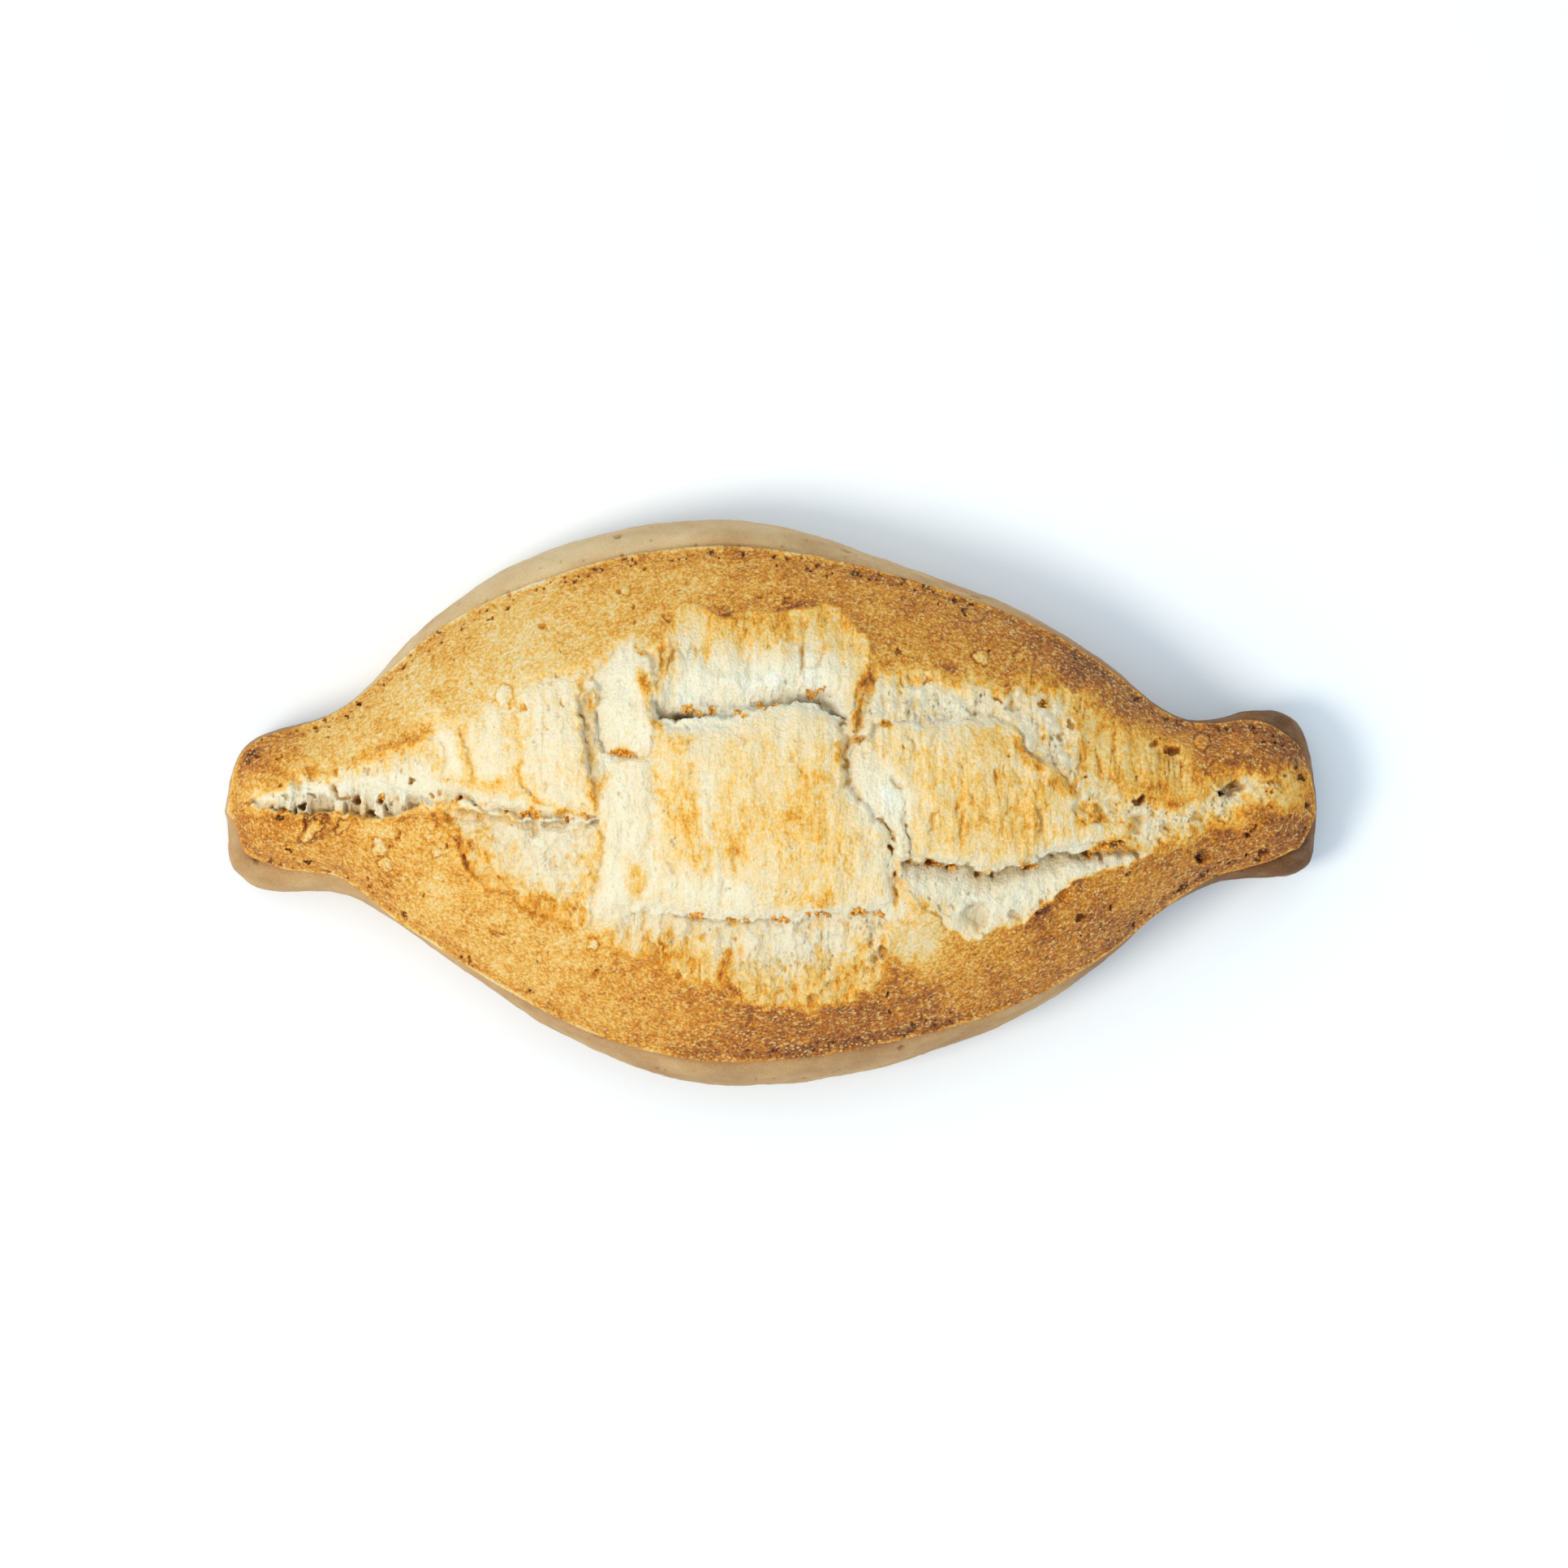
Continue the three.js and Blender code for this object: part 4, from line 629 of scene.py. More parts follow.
HASH_PRIMES = (374761393, 668265263, 2246822519, 3266489917)
HASH_BITS = 0xFFFFFFFF
DRAW_BITS = 0xFFFFFF
OCTAVE_SHIFT = 17.3
OCTAVE_FADE = 0.55
NOISE_GAIN = 1.4  # brings the smoothed lumps back to about -1 to 1


def lattice(i, j, k, seed):
    """A repeatable random number from 0 to 1 at each whole-number place."""
    a, b, c, d = HASH_PRIMES
    h = (i * a + j * b + k * c + seed * d) & HASH_BITS
    h = ((h ^ (h >> 15)) * c) & HASH_BITS
    h = ((h ^ (h >> 13)) * d) & HASH_BITS
    return ((h ^ (h >> 16)) & DRAW_BITS) / DRAW_BITS


def noise(points, size, seed, octaves=1, stretch=(1.0, 1.0, 1.0)):
    """Smooth lumps about size wide, from -1 to 1. stretch makes them longer along x, y or z."""
    total, amplitude, most = 0.0, 1.0, 0.0
    for octave in range(octaves):
        scaled = points / (np.array(stretch) * size) * 2.0 ** octave + OCTAVE_SHIFT * octave
        cell = np.floor(scaled).astype(np.int64)
        part = scaled - cell
        fade = part * part * part * (part * (part * 6 - 15) + 10)
        layer = 0.0
        for corner in itertools.product((0, 1), repeat=3):
            weight = 1.0
            for axis, step in enumerate(corner):
                weight = weight * (fade[:, axis] if step else 1 - fade[:, axis])
            at = cell + np.array(corner)
            layer = layer + weight * lattice(at[:, 0], at[:, 1], at[:, 2], seed + octave)
        total = total + amplitude * (layer * 2 - 1)
        most += amplitude
        amplitude *= OCTAVE_FADE
    return total / most * NOISE_GAIN


def dots(x, y, spacing, seed, chance, sizes, stretch=1.0):
    """Scattered dots: 0 outside them, 1 at the middle of one. stretch makes them longer along y."""
    column = np.floor(x / spacing).astype(np.int64)
    row = np.floor(y / spacing).astype(np.int64)
    deepest = np.zeros_like(x)
    for i, j in itertools.product((-1, 0, 1), repeat=2):
        a, b = column + i, row + j
        middle_x = (a + lattice(a, b, 1, seed)) * spacing
        middle_y = (b + lattice(a, b, 2, seed)) * spacing
        radius = sizes[0] + (sizes[1] - sizes[0]) * lattice(a, b, 3, seed) ** 2
        depth = 1 - np.hypot(x - middle_x, (y - middle_y) / stretch) / radius
        deepest = np.maximum(deepest, np.where(lattice(a, b, 4, seed) < chance, depth, 0))
    return deepest


def curve(points, step=0.8, closed=False):
    """A smooth line through the points, in short steps."""
    p = np.array(points, float)
    if closed:
        p = np.vstack([p[-1], p, p[0], p[1]])
    else:
        p = np.vstack([2 * p[0] - p[1], p, 2 * p[-1] - p[-2]])
    pieces = []
    for a, b, c, d in zip(p[:-3], p[1:-2], p[2:-1], p[3:]):
        count = max(1, int(np.linalg.norm(c - b) / step))
        t = (np.arange(count) / count)[:, None]
        pieces.append(0.5 * (2 * b + (c - a) * t + (2 * a - 5 * b + 4 * c - d) * t ** 2
                             + (3 * b - a - 3 * c + d) * t ** 3))
    pieces.append(p[-2][None])
    return np.vstack(pieces)


def near(x, y, line, margin):
    """The numbers of the points within margin of the line's box."""
    low, high = line.min(0) - margin, line.max(0) + margin
    return np.flatnonzero((x > low[0]) & (x < high[0]) & (y > low[1]) & (y < high[1]))


def along(x, y, line):
    """For each point: its distance to the line, how far along it that is (0 to 1), and its side."""
    steps = line[1:] - line[:-1]
    lengths = np.hypot(steps[:, 0], steps[:, 1])
    starts = np.concatenate([[0], np.cumsum(lengths)[:-1]]) / lengths.sum()
    best = np.full(x.shape, np.inf)
    where = np.zeros_like(x)
    side = np.zeros_like(x)
    for (ax, ay), (dx, dy), length, start in zip(line[:-1], steps, lengths, starts):
        t = np.clip(((x - ax) * dx + (y - ay) * dy) / length ** 2, 0, 1)
        ex, ey = x - ax - t * dx, y - ay - t * dy
        distance = ex * ex + ey * ey
        closer = distance < best
        best = np.where(closer, distance, best)
        where = np.where(closer, start + t * length / lengths.sum(), where)
        side = np.where(closer, np.sign(dx * ey - dy * ex), side)
    return np.sqrt(best), where, side


def inside(x, y, outline):
    """Whether each point lies inside the closed outline."""
    result = np.zeros(x.shape, bool)
    for (ax, ay), (bx, by) in zip(outline, np.roll(outline, -1, 0)):
        if ay == by:
            continue
        crossing = ((ay > y) != (by > y)) & (x < (bx - ax) * (y - ay) / (by - ay) + ax)
        result ^= crossing
    return result


def spread(x, y, places, reach):
    """A smooth field through values at scattered places, given as (x, y, value)."""
    softness = 0.15
    total = np.zeros_like(x)
    weights = np.full_like(x, 1e-9)
    for px, py, value in places:
        squared = ((x - px) ** 2 + (y - py) ** 2) / reach ** 2
        weight = 1 / (softness + squared) ** 2
        total += weight * value
        weights += weight
    return total / weights


# ---------------------------------------------------------------------------------------------------
# The swept body
# ---------------------------------------------------------------------------------------------------
def from_knob_to_body(x, knob, body):
    return knob + (body - knob) * np.maximum(0, 1 - (x / CROWN_REACH) ** 2) ** CROWN_FALL


def spine_x(x):
    past = np.maximum(0, np.abs(x) - SPINE_STRAIGHT)
    room = SPINE_END - SPINE_STRAIGHT
    return np.sign(x) * (np.minimum(np.abs(x), SPINE_STRAIGHT) + room * np.tanh(past / room))


def outline_rows():
    """The stations joined by smooth curves and cut into rows of even spacing."""
    stations = curve(STATIONS, step=0.25)
    back_steps = np.hypot(*np.diff(stations[:, :2], axis=0).T)
    front_steps = np.hypot(*np.diff(stations[:, [0, 2]], axis=0).T)
    travel = np.concatenate([[0], np.cumsum((back_steps + front_steps) / 2)])
    stops = np.linspace(0, travel[-1], int(travel[-1] / ROW_STEP))
    rows = np.stack([np.interp(stops, travel, column) for column in stations.T], 1)
    rows[:, 0] = np.clip(rows[:, 0], -HALF_LENGTH, HALF_LENGTH)
    return rows


def half_profile(rows, belly_y, lip):
    """One half of every cross-section, from the top of the dome to the middle of the base.

    Returns points (rows, columns, 3) and their places (rows, columns, 3): the kind of surface, 0 crown,
    1 band, 2 underside or 3 base; how far in from the rim the crown is, or 0 to 1 over the others; and
    how far down from the rim the point is, along the profile.
    """
    x = rows[:, 0]
    middle = (rows[:, 1] + rows[:, 2]) / 2
    spine_at = spine_x(x)
    spine = np.stack([spine_at, np.interp(spine_at, x, middle)], 1)
    belly = np.stack([x, belly_y], 1)
    reach = np.linalg.norm(spine - belly, axis=1)
    rim = from_knob_to_body(x, KNOB_RIM_HEIGHT, BODY_RIM_HEIGHT)
    waist = from_knob_to_body(x, KNOB_BELLY_HEIGHT, BODY_BELLY_HEIGHT)
    ridge = from_knob_to_body(spine[:, 0], KNOB_HEIGHT, HEIGHT - TOP_ROOM)
    under = KNOB_LIFT * smooth(LIFT_START, HALF_LENGTH, np.abs(x))
    under_spine = KNOB_LIFT * smooth(LIFT_START, HALF_LENGTH, np.abs(spine[:, 0]))
    points, places = [], []

    def add(inset, z, kind, place):
        share = np.minimum(1, inset / reach)[:, None]
        points.append(np.column_stack([belly + (spine - belly) * share, z]))
        places.append(np.column_stack([np.full_like(x, kind), place]))

    for t in np.linspace(0, 1, CROWN_COLUMNS + 1):
        inset = reach - (reach - lip) * t
        add(inset, rim + (ridge - rim) * (1 - t ** CROWN_POWER), 0, inset - lip)
    top = rim - RIM_THICKNESS
    for t in np.linspace(0, 1, BAND_COLUMNS):
        angle = t * math.pi / 2
        add((lip + RIM_OVERHANG) * (1 - math.sin(angle)), waist + (top - waist) * math.cos(angle), 1,
            np.full_like(x, t))
    foot = FOOT_SHARE * reach
    for t in np.linspace(0, 1, UNDERSIDE_COLUMNS + 1)[1:]:
        angle = t * math.pi / 2
        add(foot * (1 - math.cos(angle)), under + (waist - under) * (1 - math.sin(angle)), 2,
            np.full_like(x, t))
    for t in np.linspace(0, 1, BASE_COLUMNS + 1)[1:]:
        add(foot + (reach - foot) * t, mix(under, under_spine, t), 3, np.full_like(x, t))
    points, places = np.stack(points, 1), np.stack(places, 1)
    steps = np.linalg.norm(np.diff(points, axis=1), axis=2)
    down = np.concatenate([np.zeros((len(x), 1)), np.cumsum(steps, 1)], 1)
    down = np.maximum(0, down - down[:, CROWN_COLUMNS:CROWN_COLUMNS + 1])
    return points, np.dstack([places, down])


def swept_body():
    """The whole closed body: points, quads, and fields of each point's place on it."""
    rows = outline_rows()
    back, back_place = half_profile(rows, rows[:, 1], rows[:, 3])
    front, front_place = half_profile(rows, rows[:, 2], rows[:, 4])
    # One closed ring a row: down the back, and up the front without its shared first and last points.
    points = np.concatenate([back, front[:, -2:0:-1]], 1)
    places = np.concatenate([back_place, front_place[:, -2:0:-1]], 1)
    row_count, ring = points.shape[:2]
    half = back.shape[1]
    names = np.arange(row_count * ring).reshape(row_count, ring)
    # At both tips the two halves of the row are the same line, so they share their points.
    for row in (0, row_count - 1):
        names[row, half:] = names[row, half - 2:0:-1]
    here, after = names[:-1], names[1:]
    quads = np.stack([here, after, np.roll(after, -1, 1), np.roll(here, -1, 1)], -1).reshape(-1, 4)
    used, quads = np.unique(quads, return_inverse=True)
    kind, place, down = places.reshape(-1, 3)[used].T
    fields = {
        "kind": kind,
        "down": down,
        "row": (used // ring) / (row_count - 1),
        "side": np.where(used % ring < half, 1.0, -1.0),
    }
    return points.reshape(-1, 3)[used], quads.reshape(-1, 4), place, fields


# ---------------------------------------------------------------------------------------------------
# Relief and paint
# ---------------------------------------------------------------------------------------------------
class Surface:
    """The top's relief and paint at many points. x and y are slightly ragged, so that edges are too."""

    def __init__(self, points):
        self.flat = points * np.array([1.0, 1.0, 0.0])
        ragged_x, ragged_y = 0.0, 0.0
        for size, far, seed_x, seed_y in RAGGEDNESS:
            ragged_x = ragged_x + far * noise(self.flat, size, seed_x, 2)
            ragged_y = ragged_y + far * noise(self.flat, size, seed_y, 2)
        self.x = points[:, 0] + ragged_x
        self.y = points[:, 1] + ragged_y
        self.bake = spread(points[:, 0], points[:, 1], CRUST_BAKE, CRUST_BAKE_REACH)
        for name in ("rise", "torn", "hollow", "streak", "strands", "pores"):
            setattr(self, name, np.zeros(len(points)))

    def lay(self, some, share, **values):
        """Lays new values over some of the points, each by its share."""
        for name, value in values.items():
            field = getattr(self, name)
            field[some] = mix(field[some], value, share)


def slope_of(top, some, plate, crevice, edge):
    """The rise, browning, painted hollow shade and lowness, 0 to 1, of a plate that slopes to its crevice."""
    to_crevice = along(top.x[some], top.y[some], crevice)[0]
    to_edge = along(top.x[some], top.y[some], edge)[0]
    up = to_crevice / (to_crevice + to_edge + 0.01)
    open_here = 1 - plate.get("breaks", 0.4) * smooth(-0.2, 0.5, noise(top.flat[some], 4.5, 61, 2))
    ends = smooth(0, 5, to_edge)
    rise = np.full_like(up, plate["level"])
    rise -= plate["depth"] * (0.5 + 0.5 * open_here) * (1 - up) ** 1.7 * ends
    rise += plate["lip"] * np.exp(-(to_edge / 1.6) ** 2)
    browned = smooth(plate["edge_from"], 1.0, up)
    shade = np.exp(-(to_crevice / plate.get("gap", 1.0)) ** 2)
    hollow = 0.9 * open_here * shade * ends + plate.get("hollow", 0) * (1 - up)
    return rise, browned, hollow, 1 - up


def flat_of(plate, signed):
    """The same of a flat plate, from how far each point lies inside its outline."""
    into = np.maximum(signed, 0)
    rise = np.full_like(signed, plate["level"])
    rise -= plate.get("round", 0) * np.exp(-into / plate.get("round_width", 1))
    browned = np.exp(-into / plate["edge_width"])
    return rise, browned, np.full_like(signed, plate.get("hollow", 0)), np.ones_like(signed)


def lay_plate(top, plate):
    sloping = "crevice" in plate
    if sloping:
        crevice, edge = curve(plate["crevice"]), curve(plate["edge"])
        outline = np.vstack([crevice, edge])
    else:
        outline = curve(plate["outline"], closed=True)[:-1]
    blend = plate.get("blend", 1.8)
    some = near(top.x, top.y, outline, 2.5 * blend + 1)
    x, y = top.x[some], top.y[some]
    distance = along(x, y, np.vstack([outline, outline[:1]]))[0]
    signed = np.where(inside(x, y, outline), distance, -distance)
    if sloping:
        rise, browned, hollow, low = slope_of(top, some, plate, crevice, edge)
    else:
        rise, browned, hollow, low = flat_of(plate, signed)
    if "tilt" in plate:
        middle = outline.mean(0)
        rise += plate["tilt"][0] * (x - middle[0]) + plate["tilt"][1] * (y - middle[1])
    top.lay(some, smooth(-0.35, 0.35, signed), rise=rise, hollow=hollow, streak=plate.get("streak", 0),
            strands=plate.get("strands", 0) * low, pores=plate.get("pores", 0.1))
    flecks = 0.55 * noise(top.flat[some], 1.5, 53, 2) + 0.45 * noise(top.flat[some], 5.0, 59, 2)
    colour_share = smooth(-blend, blend, signed + blend * flecks)
    top.lay(some, colour_share, bake=mix(plate["bake"], plate["edge_bake"], browned), torn=plate["torn"])


def lay_ledge(top, height, reach, bake, points):
    line = curve(points)
    some = near(top.x, top.y, line, reach * 2.5)
    distance, where, side = along(top.x[some], top.y[some], line)
    ends = smooth(0, 0.15, where) * smooth(1, 0.85, where)
    raised = ends * np.exp(-distance / reach) * smooth(-0.25, 0.25, distance * side)
    top.rise[some] += height * raised
    broken = smooth(-0.5, 0.4, noise(top.flat[some], 3.0, 67, 2))
    top.bake[some] += bake * ends * broken * np.exp(-(distance / 0.9) ** 2)


def cut_fold(top, depth, width, bake, points):
    line = curve(points)
    some = near(top.x, top.y, line, width * 3.5)
    distance, where, _ = along(top.x[some], top.y[some], line)
    ends = smooth(0, 0.2, where) * smooth(1, 0.8, where)
    ends *= 0.55 + 0.45 * smooth(-0.5, 0.3, noise(top.flat[some], 2.5, 69, 2))
    groove = np.exp(-(distance / width) ** 2) * ends
    top.rise[some] -= depth * groove
    top.bake[some] += bake * groove
    # hollow is painted grey shade along the groove; ridges get none.
    top.hollow[some] = np.maximum(top.hollow[some], 0.35 * groove * np.sign(max(depth, 0)))


def in_spot(top, x, y, half_length, half_width, turn, reach):
    """Points near a turned ellipse, and how far out they are: 0 at its middle, 1 on its edge."""
    some = near(top.x, top.y, np.array([[x, y]]), max(half_length, half_width) * reach)
    dx, dy = top.x[some] - x, top.y[some] - y
    c, s = math.cos(math.radians(turn)), math.sin(math.radians(turn))
    return some, np.hypot((dx * c + dy * s) / half_length, (dy * c - dx * s) / half_width)


def sink_pit(top, x, y, half_length, half_width, turn, depth, bake):
    """A hole or an open blister with a slightly raised, paler rim."""
    some, out = in_spot(top, x, y, half_length, half_width, turn, 2.5)
    bowl = smooth(1.1, 0.45, out)
    rim = np.exp(-((out - 1.25) / 0.22) ** 2)
    top.rise[some] += PIT_RIM_HEIGHT * rim - depth * bowl
    top.bake[some] += 0.72 * bake * smooth(1.1, 0.7, out) - 0.05 * rim
    # hollow is painted grey shade in the deeper pits.
    top.hollow[some] = np.maximum(top.hollow[some], min(1.0, max(depth - 1.2, 0) / 3) * bowl)


def raise_bubble(top, x, y, half_length, half_width, turn, height, bake):
    """A closed bubble of crust with a darker outline."""
    some, out = in_spot(top, x, y, half_length, half_width, turn, 2.0)
    outline = np.exp(-((out - 1.0) / 0.16) ** 2)
    top.rise[some] += height * np.sqrt(np.clip(1 - out ** 2, 0, 1)) - BUBBLE_OUTLINE_DEPTH * outline
    top.bake[some] += 1.5 * bake * smooth(1.0, 0.7, out) + 0.18 * outline


def toast(top, x, y, half_length, half_width, turn, bake):
    some, out = in_spot(top, x, y, half_length, half_width, turn, 2.6)
    patchy = 1 + 0.5 * noise(top.flat[some], 1.6, 71, 2)
    top.bake[some] += bake * np.exp(-out ** 2) * np.clip(patchy, 0, 2)


def lay_torn_grain(top):
    """Wrinkles, creases, strands and pores of the torn dough, with painted shade in their lows."""
    wrinkles = noise(top.flat, 1.3, 101, 2, (1.0, 5.0, 1.0))
    shreds = noise(top.flat, 3.0, 113, 2, (1.0, 3.0, 1.0))
    top.rise += top.torn * (WRINKLE_HEIGHT * wrinkles + SHRED_HEIGHT * shreds) * (0.3 + top.streak)
    # The lows of the wrinkles are painted browner: painted shade.
    top.bake += top.torn * (0.03 * shreds + 0.10 * smooth(0.1, 0.9, -wrinkles)) * top.streak
    wander = noise(top.flat, 2.8, 119, 2, (1.0, 4.0, 1.0))
    creases = np.exp(-(wander / 0.075) ** 2) * smooth(0.0, 0.45, noise(top.flat, 6.0, 127, 1))
    top.rise -= CREASE_DEPTH * creases * top.torn * top.streak
    # The creases are painted browner: painted shade.
    top.bake += 0.10 * creases * top.torn * top.streak
    strings = smooth(-0.1, 0.5, noise(top.flat, 1.7, 139, 3, (1.0, 5.0, 1.0)))
    top.rise += STRAND_HEIGHT * strings * top.strands
    # The strands take away some of the painted shade.
    top.hollow *= 1 - 0.75 * strings * np.minimum(1, top.strands)
    clusters = smooth(-0.2, 0.6, noise(top.flat, 5.0, 133, 2))
    for spacing, sizes, seed in ((1.3, (0.2, 0.5), 131), (2.6, (0.4, 1.0), 132)):
        pores = dots(top.x, top.y, spacing, seed, 0.8 * top.pores * clusters, sizes, 1.7)
        top.rise -= sizes[1] * smooth(0, 0.8, pores)
        # The pores are painted browner and greyer: painted shade.
        top.bake += 0.05 * smooth(0, 0.8, pores) * top.torn
        top.hollow = np.maximum(top.hollow, 0.32 * smooth(0.1, 0.9, pores) * top.torn)
    lumps = noise(top.flat, 1.9, 137, 3)
    top.rise += top.torn * (TORN_SWELL * noise(top.flat, 7.0, 149, 2) + LUMP_HEIGHT * top.pores * lumps)
    # The lows between the lumps are painted browner: painted shade.
    top.bake += top.torn * top.pores * 0.12 * smooth(0.0, 0.8, -lumps)


def lay_crust_grain(top, inset):
    """The closed crust: dimples, blisters and pits, and the raised lip with a painted highlight and the dark
    pits along its rim.
    """
    crust = 1 - top.torn
    swell = CRUST_SWELL * noise(top.flat, 9.0, 151, 2)
    top.rise += crust * (swell + CRUST_GRAIN * noise(top.flat, 2.2, 157, 2))
    top.bake += crust * 0.05 * noise(top.flat, 7.0, 163, 3)
    near_knobs = smooth(70, 100, np.abs(top.x))
    blisters = dots(top.x, top.y, 5.0, 167, (0.25 + 0.5 * near_knobs) * crust, (0.5, 1.7))
    ring = smooth(0, 0.15, blisters) * smooth(0.45, 0.2, blisters)
    top.rise += BLISTER_HEIGHT * smooth(0, 0.4, blisters) - BLISTER_DIMPLE * smooth(0.3, 0.9, blisters)
    top.bake += 0.09 * ring - 0.07 * smooth(0.3, 0.6, blisters)
    specks = dots(top.x, top.y, 4.0, 173, 0.14 * crust, (0.2, 0.5))
    top.rise -= SPECK_DEPTH * smooth(0, 0.5, specks)
    top.bake += 0.22 * smooth(0, 0.6, specks)
    at_rim = np.exp(-((inset - 2.2) / 1.5) ** 2)
    pitted = smooth(-0.4, 0.2, noise(top.flat, 14.0, 179))
    rim_pits = dots(top.x, top.y, 2.2, 181, 0.75 * at_rim * pitted, (0.25, 0.95))
    top.rise -= RIM_PIT_DEPTH * smooth(0, 0.6, rim_pits)
    top.bake += 0.45 * smooth(0, 0.6, rim_pits) + 0.08 * np.exp(-((inset - 1.8) / 1.4) ** 2)
    lip = np.exp(-((inset - 0.2) / 0.45) ** 2)
    top.rise += LIP_HEIGHT * lip - LIP_HEIGHT * np.exp(-((inset - 1.7) / 0.8) ** 2)
    # The lip is painted paler in patches: a painted highlight along the rim.
    top.bake -= 0.22 * lip * smooth(-0.4, 0.3, noise(top.flat, 4.0, 191, 2))


def bake_top(points, inset):
    """Relief and paint of the crown."""
    top = Surface(points)
    for plate in PLATES:
        lay_plate(top, plate)
    for ledge in LEDGES:
        lay_ledge(top, *ledge)
    for fold in FOLDS:
        cut_fold(top, *fold)
    lay_torn_grain(top)
    lay_crust_grain(top, inset)
    for pit in PITS:
        sink_pit(top, *pit)
    for bubble in BUBBLES:
        raise_bubble(top, *bubble)
    for spot in TOAST:
        toast(top, *spot)
    keep = smooth(0.3, 2.5, inset)  # nothing is torn right at the rim
    top.rise = np.where(top.rise < 0, top.rise * (0.25 + 0.75 * keep), top.rise)
    return top


def bake_sides(points, kind, place):
    """Relief outwards and paint of the side band, the underside and the base."""
    band, underside, base = kind == 1, kind == 2, kind == 3
    waves = SKIN_SWELL * noise(points, 20.0, 211, 2) + SKIN_GRAIN * noise(points, 3.0, 223, 2)
    waves += SKIN_STREAK * noise(points, 2.4, 225, 2, (4.0, 4.0, 1.0))
    low = np.where(kind >= 2, 1 - smooth(0.0, 0.9, place), 1.0)
    rise = (waves - SKIN_REST) * np.where(base, 0, low) * np.where(band, smooth(0, 0.25, place), 1)
    pitted = BASE_PITTING * smooth(0.1, 0.9, noise(points, 5.0, 241, 2))
    pitted += BASE_GRAIN * smooth(0, 0.8, noise(points, 1.6, 243))
    rise = np.where(base, -pitted * smooth(0, 0.1, place), rise)
    # The band is rolled out flat, its back and its front apart, for its dimples and pinholes.
    across, up = points[:, 0], points[:, 2] + np.where(points[:, 1] > 0, 90, 0)
    dimples = smooth(0, 0.6, dots(across, up, 11.0, 227, 0.30 * band, (0.6, 1.8), 0.7))
    pinholes = smooth(0, 0.6, dots(across, up, 4.0, 235, 0.22 * band, (0.3, 0.8), 0.8))
    rise -= DIMPLE_DEPTH * dimples + PINHOLE_DEPTH * pinholes
    bake = spread(points[:, 0], points[:, 1], SKIN_BAKE, SKIN_BAKE_REACH)
    bake += 0.07 * noise(points, 12.0, 229, 3)
    bake += 0.22 * dimples + 0.16 * pinholes
    bake += 0.06 * noise(points, 4.0, 237, 2, (3.0, 3.0, 1.0))
    bake += np.where(band, 0.10 * smooth(0.25, 0.0, place), 0)
    bake += np.where(underside, 0.22 * smooth(0.0, 1.0, place), 0)
    base_blotches = 0.54 + 0.14 * noise(points, 22.0, 233, 3) + 0.08 * noise(points, 4.0, 239, 2)
    middle = smooth(0, 0.25, place) * smooth(LIFT_START + 20, LIFT_START, np.abs(points[:, 0]))
    bake = np.where(base, mix(bake + 0.16, base_blotches, middle), bake)
    return rise, bake


def make_mesh(name, points, faces, material):
    """A smooth mesh object from points in metres, linked to the scene."""
    mesh = bpy.data.meshes.new(name)
    mesh.vertices.add(len(points))
    mesh.vertices.foreach_set("co", points.astype(np.float32).ravel())
    corners = faces.shape[1]
    mesh.loops.add(faces.size)
    mesh.loops.foreach_set("vertex_index", faces.astype(np.int32).ravel())
    mesh.polygons.add(len(faces))
    mesh.polygons.foreach_set("loop_start", np.arange(0, faces.size, corners, dtype=np.int32))
    mesh.update(calc_edges=True)
    mesh.validate()
    mesh.polygons.foreach_set("use_smooth", np.ones(len(mesh.polygons), bool))
    mesh.materials.append(material)
    piece = bpy.data.objects.new(name, mesh)
    bpy.context.scene.collection.objects.link(piece)
    return piece


def read(mesh, what="co"):
    values = np.empty(len(mesh.vertices) * 3, np.float32)
    mesh.vertices.foreach_get(what, values)
    return values.reshape(-1, 3).astype(float)


def paint(mesh, name, values):
    layer = mesh.attributes.new(name, "FLOAT", "POINT")
    layer.data.foreach_set("value", np.asarray(values, np.float32))


def make_plain(piece):
    """Turns what the modifiers make of the piece into its own plain mesh."""
    graph = bpy.context.evaluated_depsgraph_get()
    finished = bpy.data.meshes.new_from_object(piece.evaluated_get(graph), depsgraph=graph)
    piece.modifiers.clear()
    rough = piece.data
    piece.data = finished
    bpy.data.meshes.remove(rough)


def thin(piece, triangles):
    """Takes away the triangles that the shape needs least."""
    piece.data.calc_loop_triangles()
    thinner = piece.modifiers.new("thin", "DECIMATE")
    thinner.ratio = min(1.0, triangles / len(piece.data.loop_triangles))
    thinner.use_collapse_triangulate = True
    make_plain(piece)


